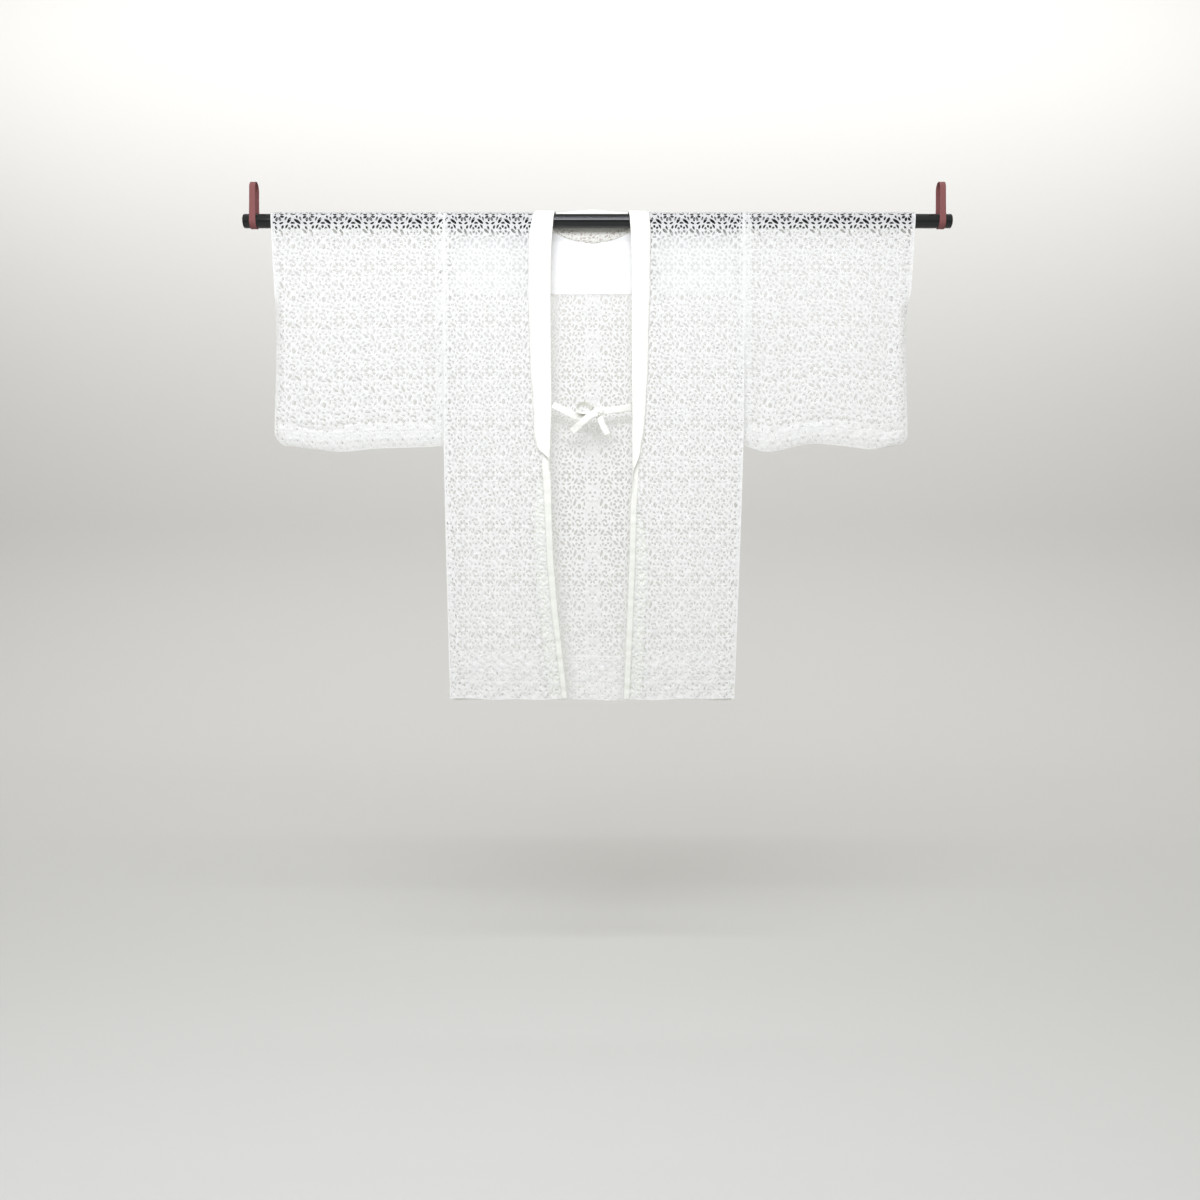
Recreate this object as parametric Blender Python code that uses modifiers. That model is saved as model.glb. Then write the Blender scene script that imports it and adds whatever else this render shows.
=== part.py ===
"""A haori of white floral lace, hanging flat over a black rod that two tape loops carry.

Metres, +Z up. The front of the haori faces -Y and +X is on the right, seen from the front. The origin
lies midway between the crowns of the two loops, where a beam or a pair of hooks carries them.
"""
import math
from collections import namedtuple

import bmesh
import bpy
from mathutils import Vector
from mathutils.geometry import delaunay_2d_cdt

# Sizes are in millimetres and MM turns them to metres. In the cloth's flat plane "x" is the distance
# from its own centre line, negative on the left, and "down" is the length along the cloth from its
# shoulder fold. "drop" is a height below the rod's axis, and an edge that is given as a distance
# from the centre line is positive on both sides.
MM = 0.001
GAP = 0.3

LACE_WALL = 1.6
COLLAR_WALL = 2.0
LINING_WALL = 1.0
TIE_WALL = 1.8

# The rod and its loops
ROD_RADIUS = 14.5
ROD_LENGTH = 1457.0
ROD_ROUNDING = 3.0
ROD_SIDES = 28
LOOP_CENTRE = 707.0
LOOP_WIDTH = 12.0
LOOP_WALL = 1.5
LOOP_RUN = 64.0
LOOP_INNER = ROD_RADIUS + GAP
LOOP_BEND_STEPS = 12
ROD_Z = -(LOOP_INNER + LOOP_RUN)

# How the cloth passes over the rod: lining next to the rod, lace over it, on the same bend angles
CLOTH_SHIFT = -10.0
BEND_STEPS = 5
HALF_STEP = math.pi / 4 / BEND_STEPS
LINING_BEND = (ROD_RADIUS + GAP + LINING_WALL / 2) / math.cos(HALF_STEP)
LACE_BEND = LINING_BEND + LINING_WALL / 2 + GAP + LACE_WALL / 2
LINING_OUT = LINING_BEND - LACE_BEND
QUARTER = math.pi / 2 * LACE_BEND
FOLD_LINE = GAP
LAYER = LACE_WALL + GAP

# Body
FRONT_DROP = 981.0
BACK_DROP = 988.0
BODY_DROPS = [75.0, 140.0, 205.0, 300.0, 400.0, 500.0, 600.0, 700.0, 800.0, 889.0, 935.0, 981.0]
HEM_HALF = 23.0
SPREAD_FROM = 230.0
ARMHOLE_DROP = BODY_DROPS[2]
HEM_BAND = FRONT_DROP - BODY_DROPS[-3]
GUSSET_TOP_WIDTH = 32.0
GUSSET_HEM_WIDTH = 60.0
GUSSET_ROOM = 0.5
GUSSET_STOPS = (0.0, 0.045, 0.16, 0.32, 0.5, 0.68, 0.84, 0.955, 1.0)
YOKE_DROP = 147.0
YOKE_INSET = 9.0
TURN_UP_INSET = 3.0
COLLAR_INSET = 38.0

# Sleeves
SLEEVE_DROP = 467.0
SLEEVE_FOOT_HALF = 6.0
SEAM_HALF = GAP / 2 + LACE_WALL / 2
FOOT_ROUND = 24.0
CUFF_ROUND = 20.0
WRIST_DROP = 180.0
ALLOWANCE = 48.0
SLEEVE_DROPS = [65.0, 130.0, 195.0, 260.0, 325.0, 372.0, 419.0, 443.0, 453.0, 460.5]

# The lace: one gap of each repeat of the flowers is cut through
REPEAT_DOWN = 106.0
GAP_WIDTH = 8.0
GAP_LENGTH = 13.0
FIRST_GAP = 56.0
EDGE_MARGIN = 11.0
GAP_CLEAR = 3.0

Edge = namedtuple("Edge", "drop left right")
BODY_EDGE = (
    Edge(-27.0, 304.0, 310.0),
    Edge(240.0, 304.0, 310.0),
    Edge(480.0, 304.0, 307.5),
    Edge(988.0, 290.5, 288.5),
)
CUFF_EDGE = (
    Edge(-27.0, 660.0, 662.0),
    Edge(60.0, 656.5, 657.5),
    Edge(150.0, 652.0, 652.0),
    Edge(200.0, 651.0, 645.5),
    Edge(300.0, 651.0, 645.0),
    Edge(400.0, 654.0, 647.0),
    Edge(467.0, 655.0, 648.5),
)
CORNER_RADIUS = {"left": 33.0, "right": 24.0}

# How much lower than SLEEVE_DROP a sleeve's bottom hangs, from the body (0) to the cuff (1)
Sag = namedtuple("Sag", "along left right")
SLEEVE_SAG = (
    Sag(0.0, -4.0, -6.0),
    Sag(0.16, -1.0, 8.0),
    Sag(0.45, 2.0, -8.0),
    Sag(0.67, 8.0, -3.0),
    Sag(0.85, 3.0, 3.0),
    Sag(1.0, -3.0, -6.0),
)

# Soft upright folds: x of the crest, half width, height outwards, and the drops where it runs out
Fold = namedtuple("Fold", "x width height top foot")
FOLDS = {
    "sleeve_left_front": (
        Fold(-566.0, 34.0, 1.8, 60.0, 415.0),
        Fold(-474.0, 46.0, -1.6, 120.0, 415.0),
        Fold(-392.0, 30.0, 1.4, 40.0, 400.0),
    ),
    "sleeve_left_back": (
        Fold(-590.0, 42.0, -1.5, 90.0, 440.0),
        Fold(-500.0, 36.0, 2.0, 50.0, 420.0),
        Fold(-405.0, 44.0, -1.4, 150.0, 440.0),
    ),
    "sleeve_right_front": (
        Fold(611.0, 13.0, -3.2, 150.0, 415.0),
        Fold(540.0, 40.0, 1.7, 70.0, 410.0),
        Fold(430.0, 34.0, -1.5, 110.0, 405.0),
    ),
    "sleeve_right_back": (
        Fold(588.0, 30.0, 1.8, 60.0, 440.0),
        Fold(486.0, 48.0, -1.6, 130.0, 435.0),
        Fold(392.0, 32.0, 1.5, 50.0, 400.0),
    ),
    "front_left": (
        Fold(-262.0, 26.0, 1.6, 120.0, 1100.0),
        Fold(-205.0, 30.0, -1.8, 260.0, 1100.0),
    ),
    "front_right": (
        Fold(252.0, 30.0, -1.6, 180.0, 1100.0),
        Fold(196.0, 26.0, 1.9, 90.0, 1100.0),
    ),
    "back_left": (
        Fold(-236.0, 34.0, 2.2, 215.0, 1100.0),
        Fold(-150.0, 40.0, -1.8, 300.0, 1100.0),
        Fold(-66.0, 30.0, 1.6, 240.0, 1100.0),
    ),
    "back_right": (
        Fold(244.0, 38.0, -1.9, 260.0, 1100.0),
        Fold(160.0, 34.0, 2.1, 215.0, 1100.0),
        Fold(72.0, 36.0, -1.6, 330.0, 1100.0),
    ),
}
FOLD_FADE = 48.0

# The folded collar in front. "fold" is its visible inner edge from the centre line, "inner" the
# width sewn to the front, "turn" how far the rest is turned over that fold (180 outwards over the
# front, -180 under it), and "flap" the width turned over.
Station = namedtuple("Station", "drop fold inner turn flap")
COLLAR = {
    "left": (
        Station(-27.0, 76.0, 27.0, 180.0, 35.8),
        Station(0.0, 80.0, 27.0, 180.0, 41.5),
        Station(30.0, 84.0, 26.0, 180.0, 44.2),
        Station(120.0, 85.5, 25.0, 180.0, 43.6),
        Station(266.0, 85.5, 24.0, 180.0, 41.0),
        Station(380.0, 84.0, 21.0, 180.0, 35.5),
        Station(440.0, 84.0, 18.0, 180.0, 29.5),
        Station(458.0, 84.5, 17.0, 180.0, 23.0),
        Station(472.0, 85.0, 16.0, 150.0, 13.0),
        Station(484.0, 86.0, 14.5, 100.0, 8.0),
        Station(493.0, 86.8, 14.0, 50.0, 5.5),
        Station(502.0, 87.5, 13.5, 0.0, 5.0),
        Station(511.0, 87.5, 13.0, -60.0, 6.0),
        Station(523.0, 87.0, 13.0, -120.0, 9.0),
        Station(540.0, 86.3, 13.0, -165.0, 18.0),
        Station(562.0, 85.5, 13.5, -180.0, 30.0),
        Station(600.0, 83.5, 13.5, -180.0, 35.0),
        Station(740.0, 77.0, 14.0, -180.0, 36.0),
        Station(981.0, 51.3, 11.5, -180.0, 36.0),
    ),
    "right": (
        Station(-27.0, 72.0, 27.0, 180.0, 37.5),
        Station(0.0, 76.0, 27.0, 180.0, 38.5),
        Station(30.0, 78.5, 26.0, 180.0, 38.0),
        Station(120.0, 79.5, 25.0, 180.0, 35.5),
        Station(266.0, 80.0, 23.0, 180.0, 31.7),
        Station(340.0, 80.5, 21.0, 180.0, 27.2),
        Station(410.0, 81.0, 18.0, 180.0, 18.8),
        Station(450.0, 81.0, 16.0, 180.0, 14.0),
        Station(480.0, 80.8, 14.5, 175.0, 10.5),
        Station(500.0, 80.5, 14.0, 150.0, 8.5),
        Station(515.0, 80.2, 13.5, 110.0, 7.0),
        Station(528.0, 79.8, 13.0, 65.0, 5.5),
        Station(541.0, 79.3, 13.0, 20.0, 5.0),
        Station(554.0, 78.8, 13.0, -30.0, 5.0),
        Station(568.0, 78.2, 13.0, -85.0, 7.0),
        Station(582.0, 77.7, 13.0, -130.0, 10.0),
        Station(600.0, 77.0, 13.0, -165.0, 17.0),
        Station(620.0, 76.5, 13.0, -180.0, 24.0),
        Station(655.0, 75.5, 13.0, -180.0, 31.0),
        Station(720.0, 74.0, 13.0, -180.0, 36.0),
        Station(981.0, 62.8, 12.5, -180.0, 36.0),
    ),
}
TURN_DROPS = {
    "left": [20.0, 440.0, 458.0, 472.0, 484.0, 493.0, 502.0, 511.0, 523.0, 540.0, 562.0],
    "right": [20.0, 450.0, 480.0, 515.0, 528.0, 541.0, 554.0, 568.0, 582.0, 620.0, 655.0],
}

# The neck seam behind the rod, and how the collar stands from it: folded out over the shoulders
# and opening to a plain standing band at the centre. "fold" and "free" are places of its fold line
# and its free edge: x from the centre line, y behind the rod's axis, z above it.
Neck = namedtuple("Neck", "down seam fold_x fold_y fold_z free_x free_y free_z")
NECK = (
    Neck(0.0, 103.0, 76.0, 0.0, 17.2, 114.0, 0.0, 19.8),
    Neck(7.0, 102.3, 75.5, 6.9, 16.2, 113.3, 8.0, 18.6),
    Neck(14.0, 101.0, 74.0, 13.0, 13.5, 110.5, 16.5, 16.6),
    Neck(21.0, 98.5, 72.0, 17.6, 9.8, 105.0, 25.5, 19.0),
    Neck(28.0, 95.0, 68.6, 19.4, 7.6, 96.5, 32.5, 24.0),
    Neck(34.0, 90.5, 64.6, 20.2, 6.6, 86.5, 37.0, 28.0),
    Neck(42.0, 82.0, 58.6, 20.6, 5.0, 73.0, 39.0, 30.6),
    Neck(48.0, 73.4, 53.0, 20.7, 3.4, 62.5, 38.5, 31.4),
    Neck(53.0, 64.0, 47.0, 20.6, 1.6, 53.5, 36.5, 31.6),
    Neck(57.5, 53.6, 40.4, 20.4, -0.4, 44.5, 33.5, 31.6),
    Neck(61.0, 43.0, 33.2, 20.2, -2.0, 36.0, 30.5, 31.4),
    Neck(64.0, 31.8, 25.0, 19.9, -3.2, 27.0, 27.5, 31.2),
    Neck(66.0, 22.0, 17.5, 19.7, -4.2, 18.8, 25.2, 31.0),
    Neck(67.4, 11.5, 9.2, 19.5, -4.8, 9.8, 23.6, 31.0),
    Neck(68.0, 0.0, 0.0, 19.4, -5.0, 0.0, 23.0, 31.0),
)
NECK_STEPS = [34.0, 42.0, 48.0, 53.0, 57.5, 61.0, 64.0, 66.0, 67.4, 68.0]
NECK_RIGHT = 0.96
COLLAR_BEND_LENGTH = 4.1
COLLAR_BEND_POINTS = 4
FOLD_REACH = 2.3

# The ties: x, drop, how far the strip lies in front of the rod's axis, and how far its width leans
# from facing forwards (0) to lying edge on (90)
Stop = namedtuple("Stop", "x drop fore lean")
TIE_WIDTH = 14.0
KNOT = Stop(11.0, 397.0, 28.6, 0.0)
KNOT_SIZE = (11.0, 6.0, 8.5)
TIES = {
    "tie_left": (
        Stop(-81.5, 381.0, 19.5, 20.0),
        Stop(-66.0, 389.0, 22.5, 10.0),
        Stop(-48.0, 399.0, 23.0, 0.0),
        Stop(-30.0, 406.0, 22.5, 0.0),
        Stop(-10.0, 404.5, 21.8, 0.0),
        Stop(9.0, 397.0, 21.7, 0.0),
    ),
    "tie_right": (
        Stop(79.6, 387.0, 19.5, 20.0),
        Stop(60.0, 390.0, 22.5, 10.0),
        Stop(38.0, 392.5, 22.0, 0.0),
        Stop(13.0, 395.0, 21.75, 0.0),
    ),
    "tie_tail_long": (
        Stop(8.5, 398.5, 35.3, 0.0),
        Stop(-8.0, 408.0, 38.0, -10.0),
        Stop(-26.0, 424.5, 36.0, 15.0),
        Stop(-43.0, 439.0, 32.0, 5.0),
    ),
    "tie_tail_short": (
        Stop(14.0, 405.7, 28.6, 0.0),
        Stop(20.5, 424.0, 29.0, 20.0),
        Stop(31.0, 444.0, 28.0, 0.0),
    ),
    "tie_bow": (
        Stop(0.6, 391.0, 28.4, 45.0),
        Stop(-13.0, 381.0, 28.5, 60.0),
        Stop(-26.0, 381.5, 29.5, 65.0),
        Stop(-32.0, 390.0, 30.0, 65.0),
        Stop(-26.0, 398.0, 29.5, 65.0),
        Stop(-13.0, 399.0, 29.0, 60.0),
        Stop(-0.4, 398.0, 29.8, 50.0),
    ),
}

# Colour, roughness and metallic value of each finish
FINISHES = {
    "lace": ((0.90, 0.90, 0.88), 0.75, 0.0),
    "collar": ((0.91, 0.90, 0.86), 0.75, 0.0),
    "lining": ((0.93, 0.93, 0.93), 0.60, 0.0),
    "lacquer": ((0.010, 0.012, 0.013), 0.12, 0.0),
    "tape": ((0.25, 0.085, 0.085), 0.80, 0.0),
}


def smooth(low, high, value):
    """Rises from 0 at low to 1 at high with level ends."""
    t = min(max((value - low) / (high - low), 0.0), 1.0)
    return t * t * (3 - 2 * t)


def round_off(t):
    """A soft rise from 0 at a pressed edge to 1, level one radius in."""
    return math.sin(math.pi / 2 * min(max(t, 0.0), 1.0))


def read(rows, key, column, at):
    """Reads a table's column between its rows, on a smooth curve through them."""
    places = [getattr(row, key) for row in rows]
    values = [getattr(row, column) for row in rows]
    at = min(max(at, places[0]), places[-1])
    first = max(n for n in range(len(places) - 1) if places[n] <= at)

    def slope(n):
        low = max(n - 1, 0)
        high = min(n + 1, len(places) - 1)
        return (values[high] - values[low]) / (places[high] - places[low])

    span = places[first + 1] - places[first]
    t = (at - places[first]) / span
    start = values[first] * (1 + 2 * t) * (1 - t) ** 2
    end = values[first + 1] * t * t * (3 - 2 * t)
    lean = slope(first) * t * (1 - t) ** 2 - slope(first + 1) * t * t * (1 - t)
    return start + end + span * lean


def world(x, y, z):
    """A point of the cloth, given from the rod's axis on the cloth's centre line, in metres."""
    return Vector((x + CLOTH_SHIFT, y, z + ROD_Z)) * MM


def body_edge(side, down):
    return read(BODY_EDGE, "drop", side, down - QUARTER)


def cuff_edge(side, down):
    """The sleeve's outer edge, with its bottom corner rounded."""
    drop = down - QUARTER
    radius = CORNER_RADIUS[side]
    into = min(max(drop - (SLEEVE_DROP - radius), 0.0), radius)
    return read(CUFF_EDGE, "drop", side, drop) - radius + math.sqrt(radius**2 - into**2)


def collar_seam(side, down):
    """Where the front panel ends and the collar is sewn on, straight from row to row."""
    table = COLLAR[side]
    rows = bend_rows() + body_rows(0.0, QUARTER + FRONT_DROP)
    down = min(max(down, rows[0]), rows[-1])
    lower = next(row for row in rows[1:] if row >= down)
    upper = rows[rows.index(lower) - 1]
    ends = []
    for row in (upper, lower):
        drop = row - QUARTER
        ends.append(read(table, "drop", "fold", drop) + read(table, "drop", "inner", drop))
    share = (down - upper) / (lower - upper)
    return ends[0] + (ends[1] - ends[0]) * share


def neck_seam(side, down):
    """The back panel's neck edge, which reaches the centre line at the neck's lowest point."""
    scale = NECK_RIGHT if side == "right" else 1.0
    return read(NECK, "down", "seam", down) * scale


def body_half(down):
    """Half the depth of the hanging body, mid wall."""
    spread = smooth(SPREAD_FROM, FRONT_DROP, down - QUARTER)
    return LACE_BEND + (HEM_HALF - LACE_BEND) * spread


def sleeve_half(side, x, down):
    """Half the depth of the hanging sleeve: it narrows to its sewn bottom and lower cuff edge."""
    drop = max(down - QUARTER, 0.0)
    across = abs(x)
    foot_from = SLEEVE_DROP - FOOT_ROUND
    half = LACE_BEND + (SLEEVE_FOOT_HALF - LACE_BEND) * min(drop / foot_from, 1.0)
    sewn = 1 - smooth(ARMHOLE_DROP - 10, ARMHOLE_DROP + 120, drop)
    near_body = 1 - smooth(0.0, 130.0, across - body_edge(side, down))
    half += (body_half(down) - half) * sewn * near_body
    foot = round_off((SLEEVE_DROP - drop) / FOOT_ROUND)
    closed = smooth(WRIST_DROP - 30, WRIST_DROP + 20, drop)
    cuff = 1 - closed + closed * round_off((cuff_edge(side, down) - across) / CUFF_ROUND)
    return SEAM_HALF + (half - SEAM_HALF) * foot * cuff


def ripple(panel, x, down, edges):
    """How far the panel's soft folds stand out, level at its edges and next to the rod."""
    drop = down - QUARTER
    total = 0.0
    for fold in FOLDS[panel]:
        length = smooth(fold.top - 50, fold.top + 60, drop) * (1 - smooth(fold.foot - 90, fold.foot, drop))
        total += fold.height * math.exp(-(((x - fold.x) / fold.width) ** 2)) * length
    for edge in edges:
        total *= smooth(0.0, FOLD_FADE, abs(x - edge))
    return total


def hung(facing, x, down, half, out, stretch=1.0):
    """Hangs a flat point over the rod. facing is -1 in front and 1 behind, out moves it outwards."""
    if down < QUARTER:
        angle = down / LACE_BEND
        radius = LACE_BEND + out
        return world(x, facing * radius * math.sin(angle), radius * math.cos(angle))
    return world(x, facing * (half + out), -(down - QUARTER) * stretch)


def body_point(panel, x, down, out=0.0):
    facing = -1 if panel.startswith("front") else 1
    side = panel.split("_")[1]
    sign = -1 if side == "left" else 1
    inner = collar_seam(side, down) if facing < 0 else 0.0
    edges = (sign * body_edge(side, down), sign * inner)
    half = body_half(down) + ripple(panel, x, down, edges)
    return hung(facing, x, down, half, out)


def sleeve_point(panel, x, down, out=0.0):
    facing = -1 if panel.endswith("front") else 1
    side = panel.split("_")[1]
    sign = -1 if side == "left" else 1
    inner = body_edge(side, down)
    outer = cuff_edge(side, down)
    half = sleeve_half(side, x, down) + ripple(panel, x, down, (sign * inner, sign * outer))
    along = min(max((abs(x) - inner) / (outer - inner), 0.0), 1.0)
    stretch = 1 + read(SLEEVE_SAG, "along", side, along) / SLEEVE_DROP
    return hung(facing, x, down, half, out, stretch)


def finish(name):
    """The finish's material, made once."""
    if name in bpy.data.materials:
        return bpy.data.materials[name]
    colour, roughness, metallic = FINISHES[name]
    material = bpy.data.materials.new(name)
    material.use_nodes = True
    shader = material.node_tree.nodes["Principled BSDF"]
    shader.inputs["Base Color"].default_value = (*colour, 1.0)
    shader.inputs["Roughness"].default_value = roughness
    shader.inputs["Metallic"].default_value = metallic
    return material


def add_object(name, data, finish_name):
    data.materials.append(finish(finish_name))
    piece = bpy.data.objects.new(name, data)
    bpy.data.collections["haori"].objects.link(piece)
    return piece


def take_in(piece, finish_name):
    """Moves a new primitive to the haori's own collection."""
    piece.data.materials.append(finish(finish_name))
    for home in list(piece.users_collection):
        home.objects.unlink(piece)
    bpy.data.collections["haori"].objects.link(piece)


def thicken(piece, wall):
    """Turns a cloth surface to a closed wall, half of it on each side."""
    shell = piece.modifiers.new("wall", "SOLIDIFY")
    shell.thickness = wall * MM
    shell.offset = 0.0
    shell.use_even_offset = True


def inside(point, outline):
    """Whether a flat point lies within a convex outline that runs anticlockwise."""
    for here, there in zip(outline, outline[1:] + outline[:1]):
        if (there - here).cross(point - here) < 0:
            return False
    return True


def gap_outline(x, down):
    """A leaf-shaped gap between the lace's flowers, anticlockwise."""
    corners = ((0, -1), (1, -0.45), (1, 0.45), (0, 1), (-1, 0.45), (-1, -0.45))
    return [Vector((x + a * GAP_WIDTH / 2, down + b * GAP_LENGTH / 2)) for a, b in corners]


def lace_gaps(left, right, foot, origin, repeat, margins=(EDGE_MARGIN, EDGE_MARGIN)):
    """The gaps of a panel: one in each repeat that clears the panel's edges."""
    found = []
    down = QUARTER + FIRST_GAP
    while down + GAP_LENGTH / 2 + EDGE_MARGIN < foot:
        low = left(down) + margins[0] + GAP_WIDTH / 2
        high = right(down) - margins[1] - GAP_WIDTH / 2
        column = math.ceil((low - origin) / repeat)
        while origin + column * repeat <= high:
            found.append(gap_outline(origin + column * repeat, down))
            column += 1
        down += REPEAT_DOWN
    return found


def spread(left, right, count, left_steps=(), right_steps=()):
    """Even stops from left to right, with closer ones next to an edge that rounds over."""
    low = left + (left_steps[-1] if left_steps else 0.0)
    high = right - (right_steps[-1] if right_steps else 0.0)
    even = [low + (high - low) * n / count for n in range(count + 1)]
    before = [left] + [left + step for step in left_steps[:-1]] if left_steps else []
    after = [right - step for step in reversed(right_steps[:-1])] + [right] if right_steps else []
    return before + even + after


def within(stops, low, high):
    """A panel's own stops between the edges of what lies on it."""
    return [low] + [x for x in stops if low + 4 < x < high - 4] + [high]


def cloth_wall(name, rows, stops, place, wall, finish_name, gaps=(), outward=(0.0, -1.0, 0.0)):
    """A wall of cloth from its flat cut.

    rows are the lengths down the cloth that get points, stops(down) their x values, place(x, down)
    hangs a flat point, and gaps are outlines cut through the wall.
    """
    flat = []
    edges = []
    grid = []
    for row, down in enumerate(rows):
        line = []
        for n, x in enumerate(stops(down)):
            point = Vector((x, down))
            at_edge = row in (0, len(rows) - 1) or n in (0, len(stops(down)) - 1)
            near = any(
                min(v.x for v in gap) - GAP_CLEAR < x < max(v.x for v in gap) + GAP_CLEAR
                and min(v.y for v in gap) - GAP_CLEAR < down < max(v.y for v in gap) + GAP_CLEAR
                for gap in gaps
            )
            if at_edge or not near:
                line.append(len(flat))
                flat.append(point)
        grid.append(line)
        if not any(min(v.y for v in gap) - GAP_CLEAR < down < max(v.y for v in gap) + GAP_CLEAR for gap in gaps):
            edges += list(zip(line, line[1:]))
    for upper, lower in zip(grid, grid[1:]):
        edges += [(upper[0], lower[0]), (upper[-1], lower[-1])]
    for gap in gaps:
        start = len(flat)
        flat += gap
        edges += [(start + n, start + (n + 1) % len(gap)) for n in range(len(gap))]
    points, _, faces, *_ = delaunay_2d_cdt(flat, edges, [], 1, 1e-4)
    mesh = bmesh.new()
    corners = [mesh.verts.new(place(point.x, point.y)) for point in points]
    for face in faces:
        middle = sum((points[n] for n in face), Vector((0.0, 0.0))) / len(face)
        if not any(inside(middle, gap) for gap in gaps):
            mesh.faces.new([corners[n] for n in face])
    loose = [corner for corner in mesh.verts if not corner.link_faces]
    bmesh.ops.delete(mesh, geom=loose, context="VERTS")
    mesh.normal_update()
    if sum(face.normal.dot(Vector(outward)) * face.calc_area() for face in mesh.faces) < 0:
        bmesh.ops.reverse_faces(mesh, faces=mesh.faces)
    data = bpy.data.meshes.new(name)
    mesh.to_mesh(data)
    mesh.free()
    piece = add_object(name, data, finish_name)
    thicken(piece, wall)
    return piece


def loft(name, sections, wall, finish_name):
    """A wall through sections of equally many points."""
    mesh = bmesh.new()
    lines = [[mesh.verts.new(point) for point in section] for section in sections]
    for here, there in zip(lines, lines[1:]):
        for n in range(len(here) - 1):
            mesh.faces.new((here[n], here[n + 1], there[n + 1], there[n]))
    data = bpy.data.meshes.new(name)
    mesh.to_mesh(data)
    mesh.free()
    piece = add_object(name, data, finish_name)
    thicken(piece, wall)
    return piece


def bend_rows():
    return [FOLD_LINE] + [QUARTER * n / BEND_STEPS for n in range(1, BEND_STEPS + 1)]


def body_rows(after, foot):
    """Rows of the hanging body below a drop, shared by the panels and gussets, with a hem of its own."""
    return [QUARTER + drop for drop in BODY_DROPS[:-1] if drop > after] + [foot]


def neck_rows():
    """Rows over the rod and down to the neck's lowest point, shared by all that meets there."""
    return bend_rows() + NECK_STEPS


def signed(side, inner, outer):
    """A side's inner and outer edge functions as its left and right ones, in x."""
    if side == "left":
        return (lambda down: -outer(down)), (lambda down: -inner(down))
    return inner, outer


def make_front(side):
    name = f"front_{side}"
    foot = QUARTER + FRONT_DROP
    left, right = signed(side, lambda down: collar_seam(side, down) + GAP, lambda down: body_edge(side, down))
    def stops(down):
        return spread(left(down), right(down), 6)

    rows = bend_rows() + body_rows(0.0, foot)
    origin = -237.5 if side == "left" else 237.5
    gaps = lace_gaps(left, right, foot - HEM_BAND, origin, 55.0)
    cloth_wall(
        name,
        rows,
        stops,
        lambda x, down: body_point(name, x, down),
        LACE_WALL,
        "lace",
        gaps,
    )
    low, high = signed(
        side,
        lambda down: collar_seam(side, down) + COLLAR_INSET,
        lambda down: body_edge(side, down) - TURN_UP_INSET,
    )
    cloth_wall(
        f"hem_{name}",
        body_rows(FRONT_DROP - HEM_BAND - 1, foot),
        lambda down: within(stops(down), low(down), high(down)),
        lambda x, down: body_point(name, x, down, -LAYER),
        LACE_WALL,
        "lace",
    )


def make_back(side):
    name = f"back_{side}"
    foot = QUARTER + BACK_DROP
    neck_foot = NECK[-1].down
    left, right = signed(
        side,
        lambda down: max(neck_seam(side, down), FOLD_LINE) if down < neck_foot else FOLD_LINE,
        lambda down: body_edge(side, down),
    )
    def stops(down):
        return spread(left(down), right(down), 6)

    rows = neck_rows() + body_rows(0.0, foot)
    gaps = lace_gaps(left, right, foot - HEM_BAND, -27.5, 55.0)
    cloth_wall(
        name,
        rows,
        stops,
        lambda x, down: body_point(name, x, down),
        LACE_WALL,
        "lace",
        gaps,
        (0.0, 1.0, 0.0),
    )
    low, high = signed(side, lambda down: 1.0, lambda down: body_edge(side, down) - TURN_UP_INSET)
    cloth_wall(
        f"hem_{name}",
        body_rows(FRONT_DROP - HEM_BAND - 1, foot),
        lambda down: within(stops(down), low(down), high(down)),
        lambda x, down: body_point(name, x, down, -LAYER),
        LACE_WALL,
        "lace",
        (),
        (0.0, 1.0, 0.0),
    )
    low, high = signed(
        side,
        lambda down: max(neck_seam(side, down) + 1.5, FOLD_LINE) if down < neck_foot + 1.5 else FOLD_LINE,
        lambda down: body_edge(side, down) - YOKE_INSET,
    )
    yoke_foot = QUARTER + YOKE_DROP
    yoke_rows = neck_rows() + [neck_foot + 1.5, 95.0, 130.0, yoke_foot]
    cloth_wall(
        f"yoke_{side}",
        yoke_rows,
        lambda down: spread(low(down), high(down), 5),
        lambda x, down: body_point(name, x, down, LINING_OUT),
        LINING_WALL,
        "lining",
        (),
        (0.0, 1.0, 0.0),
    )


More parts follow.
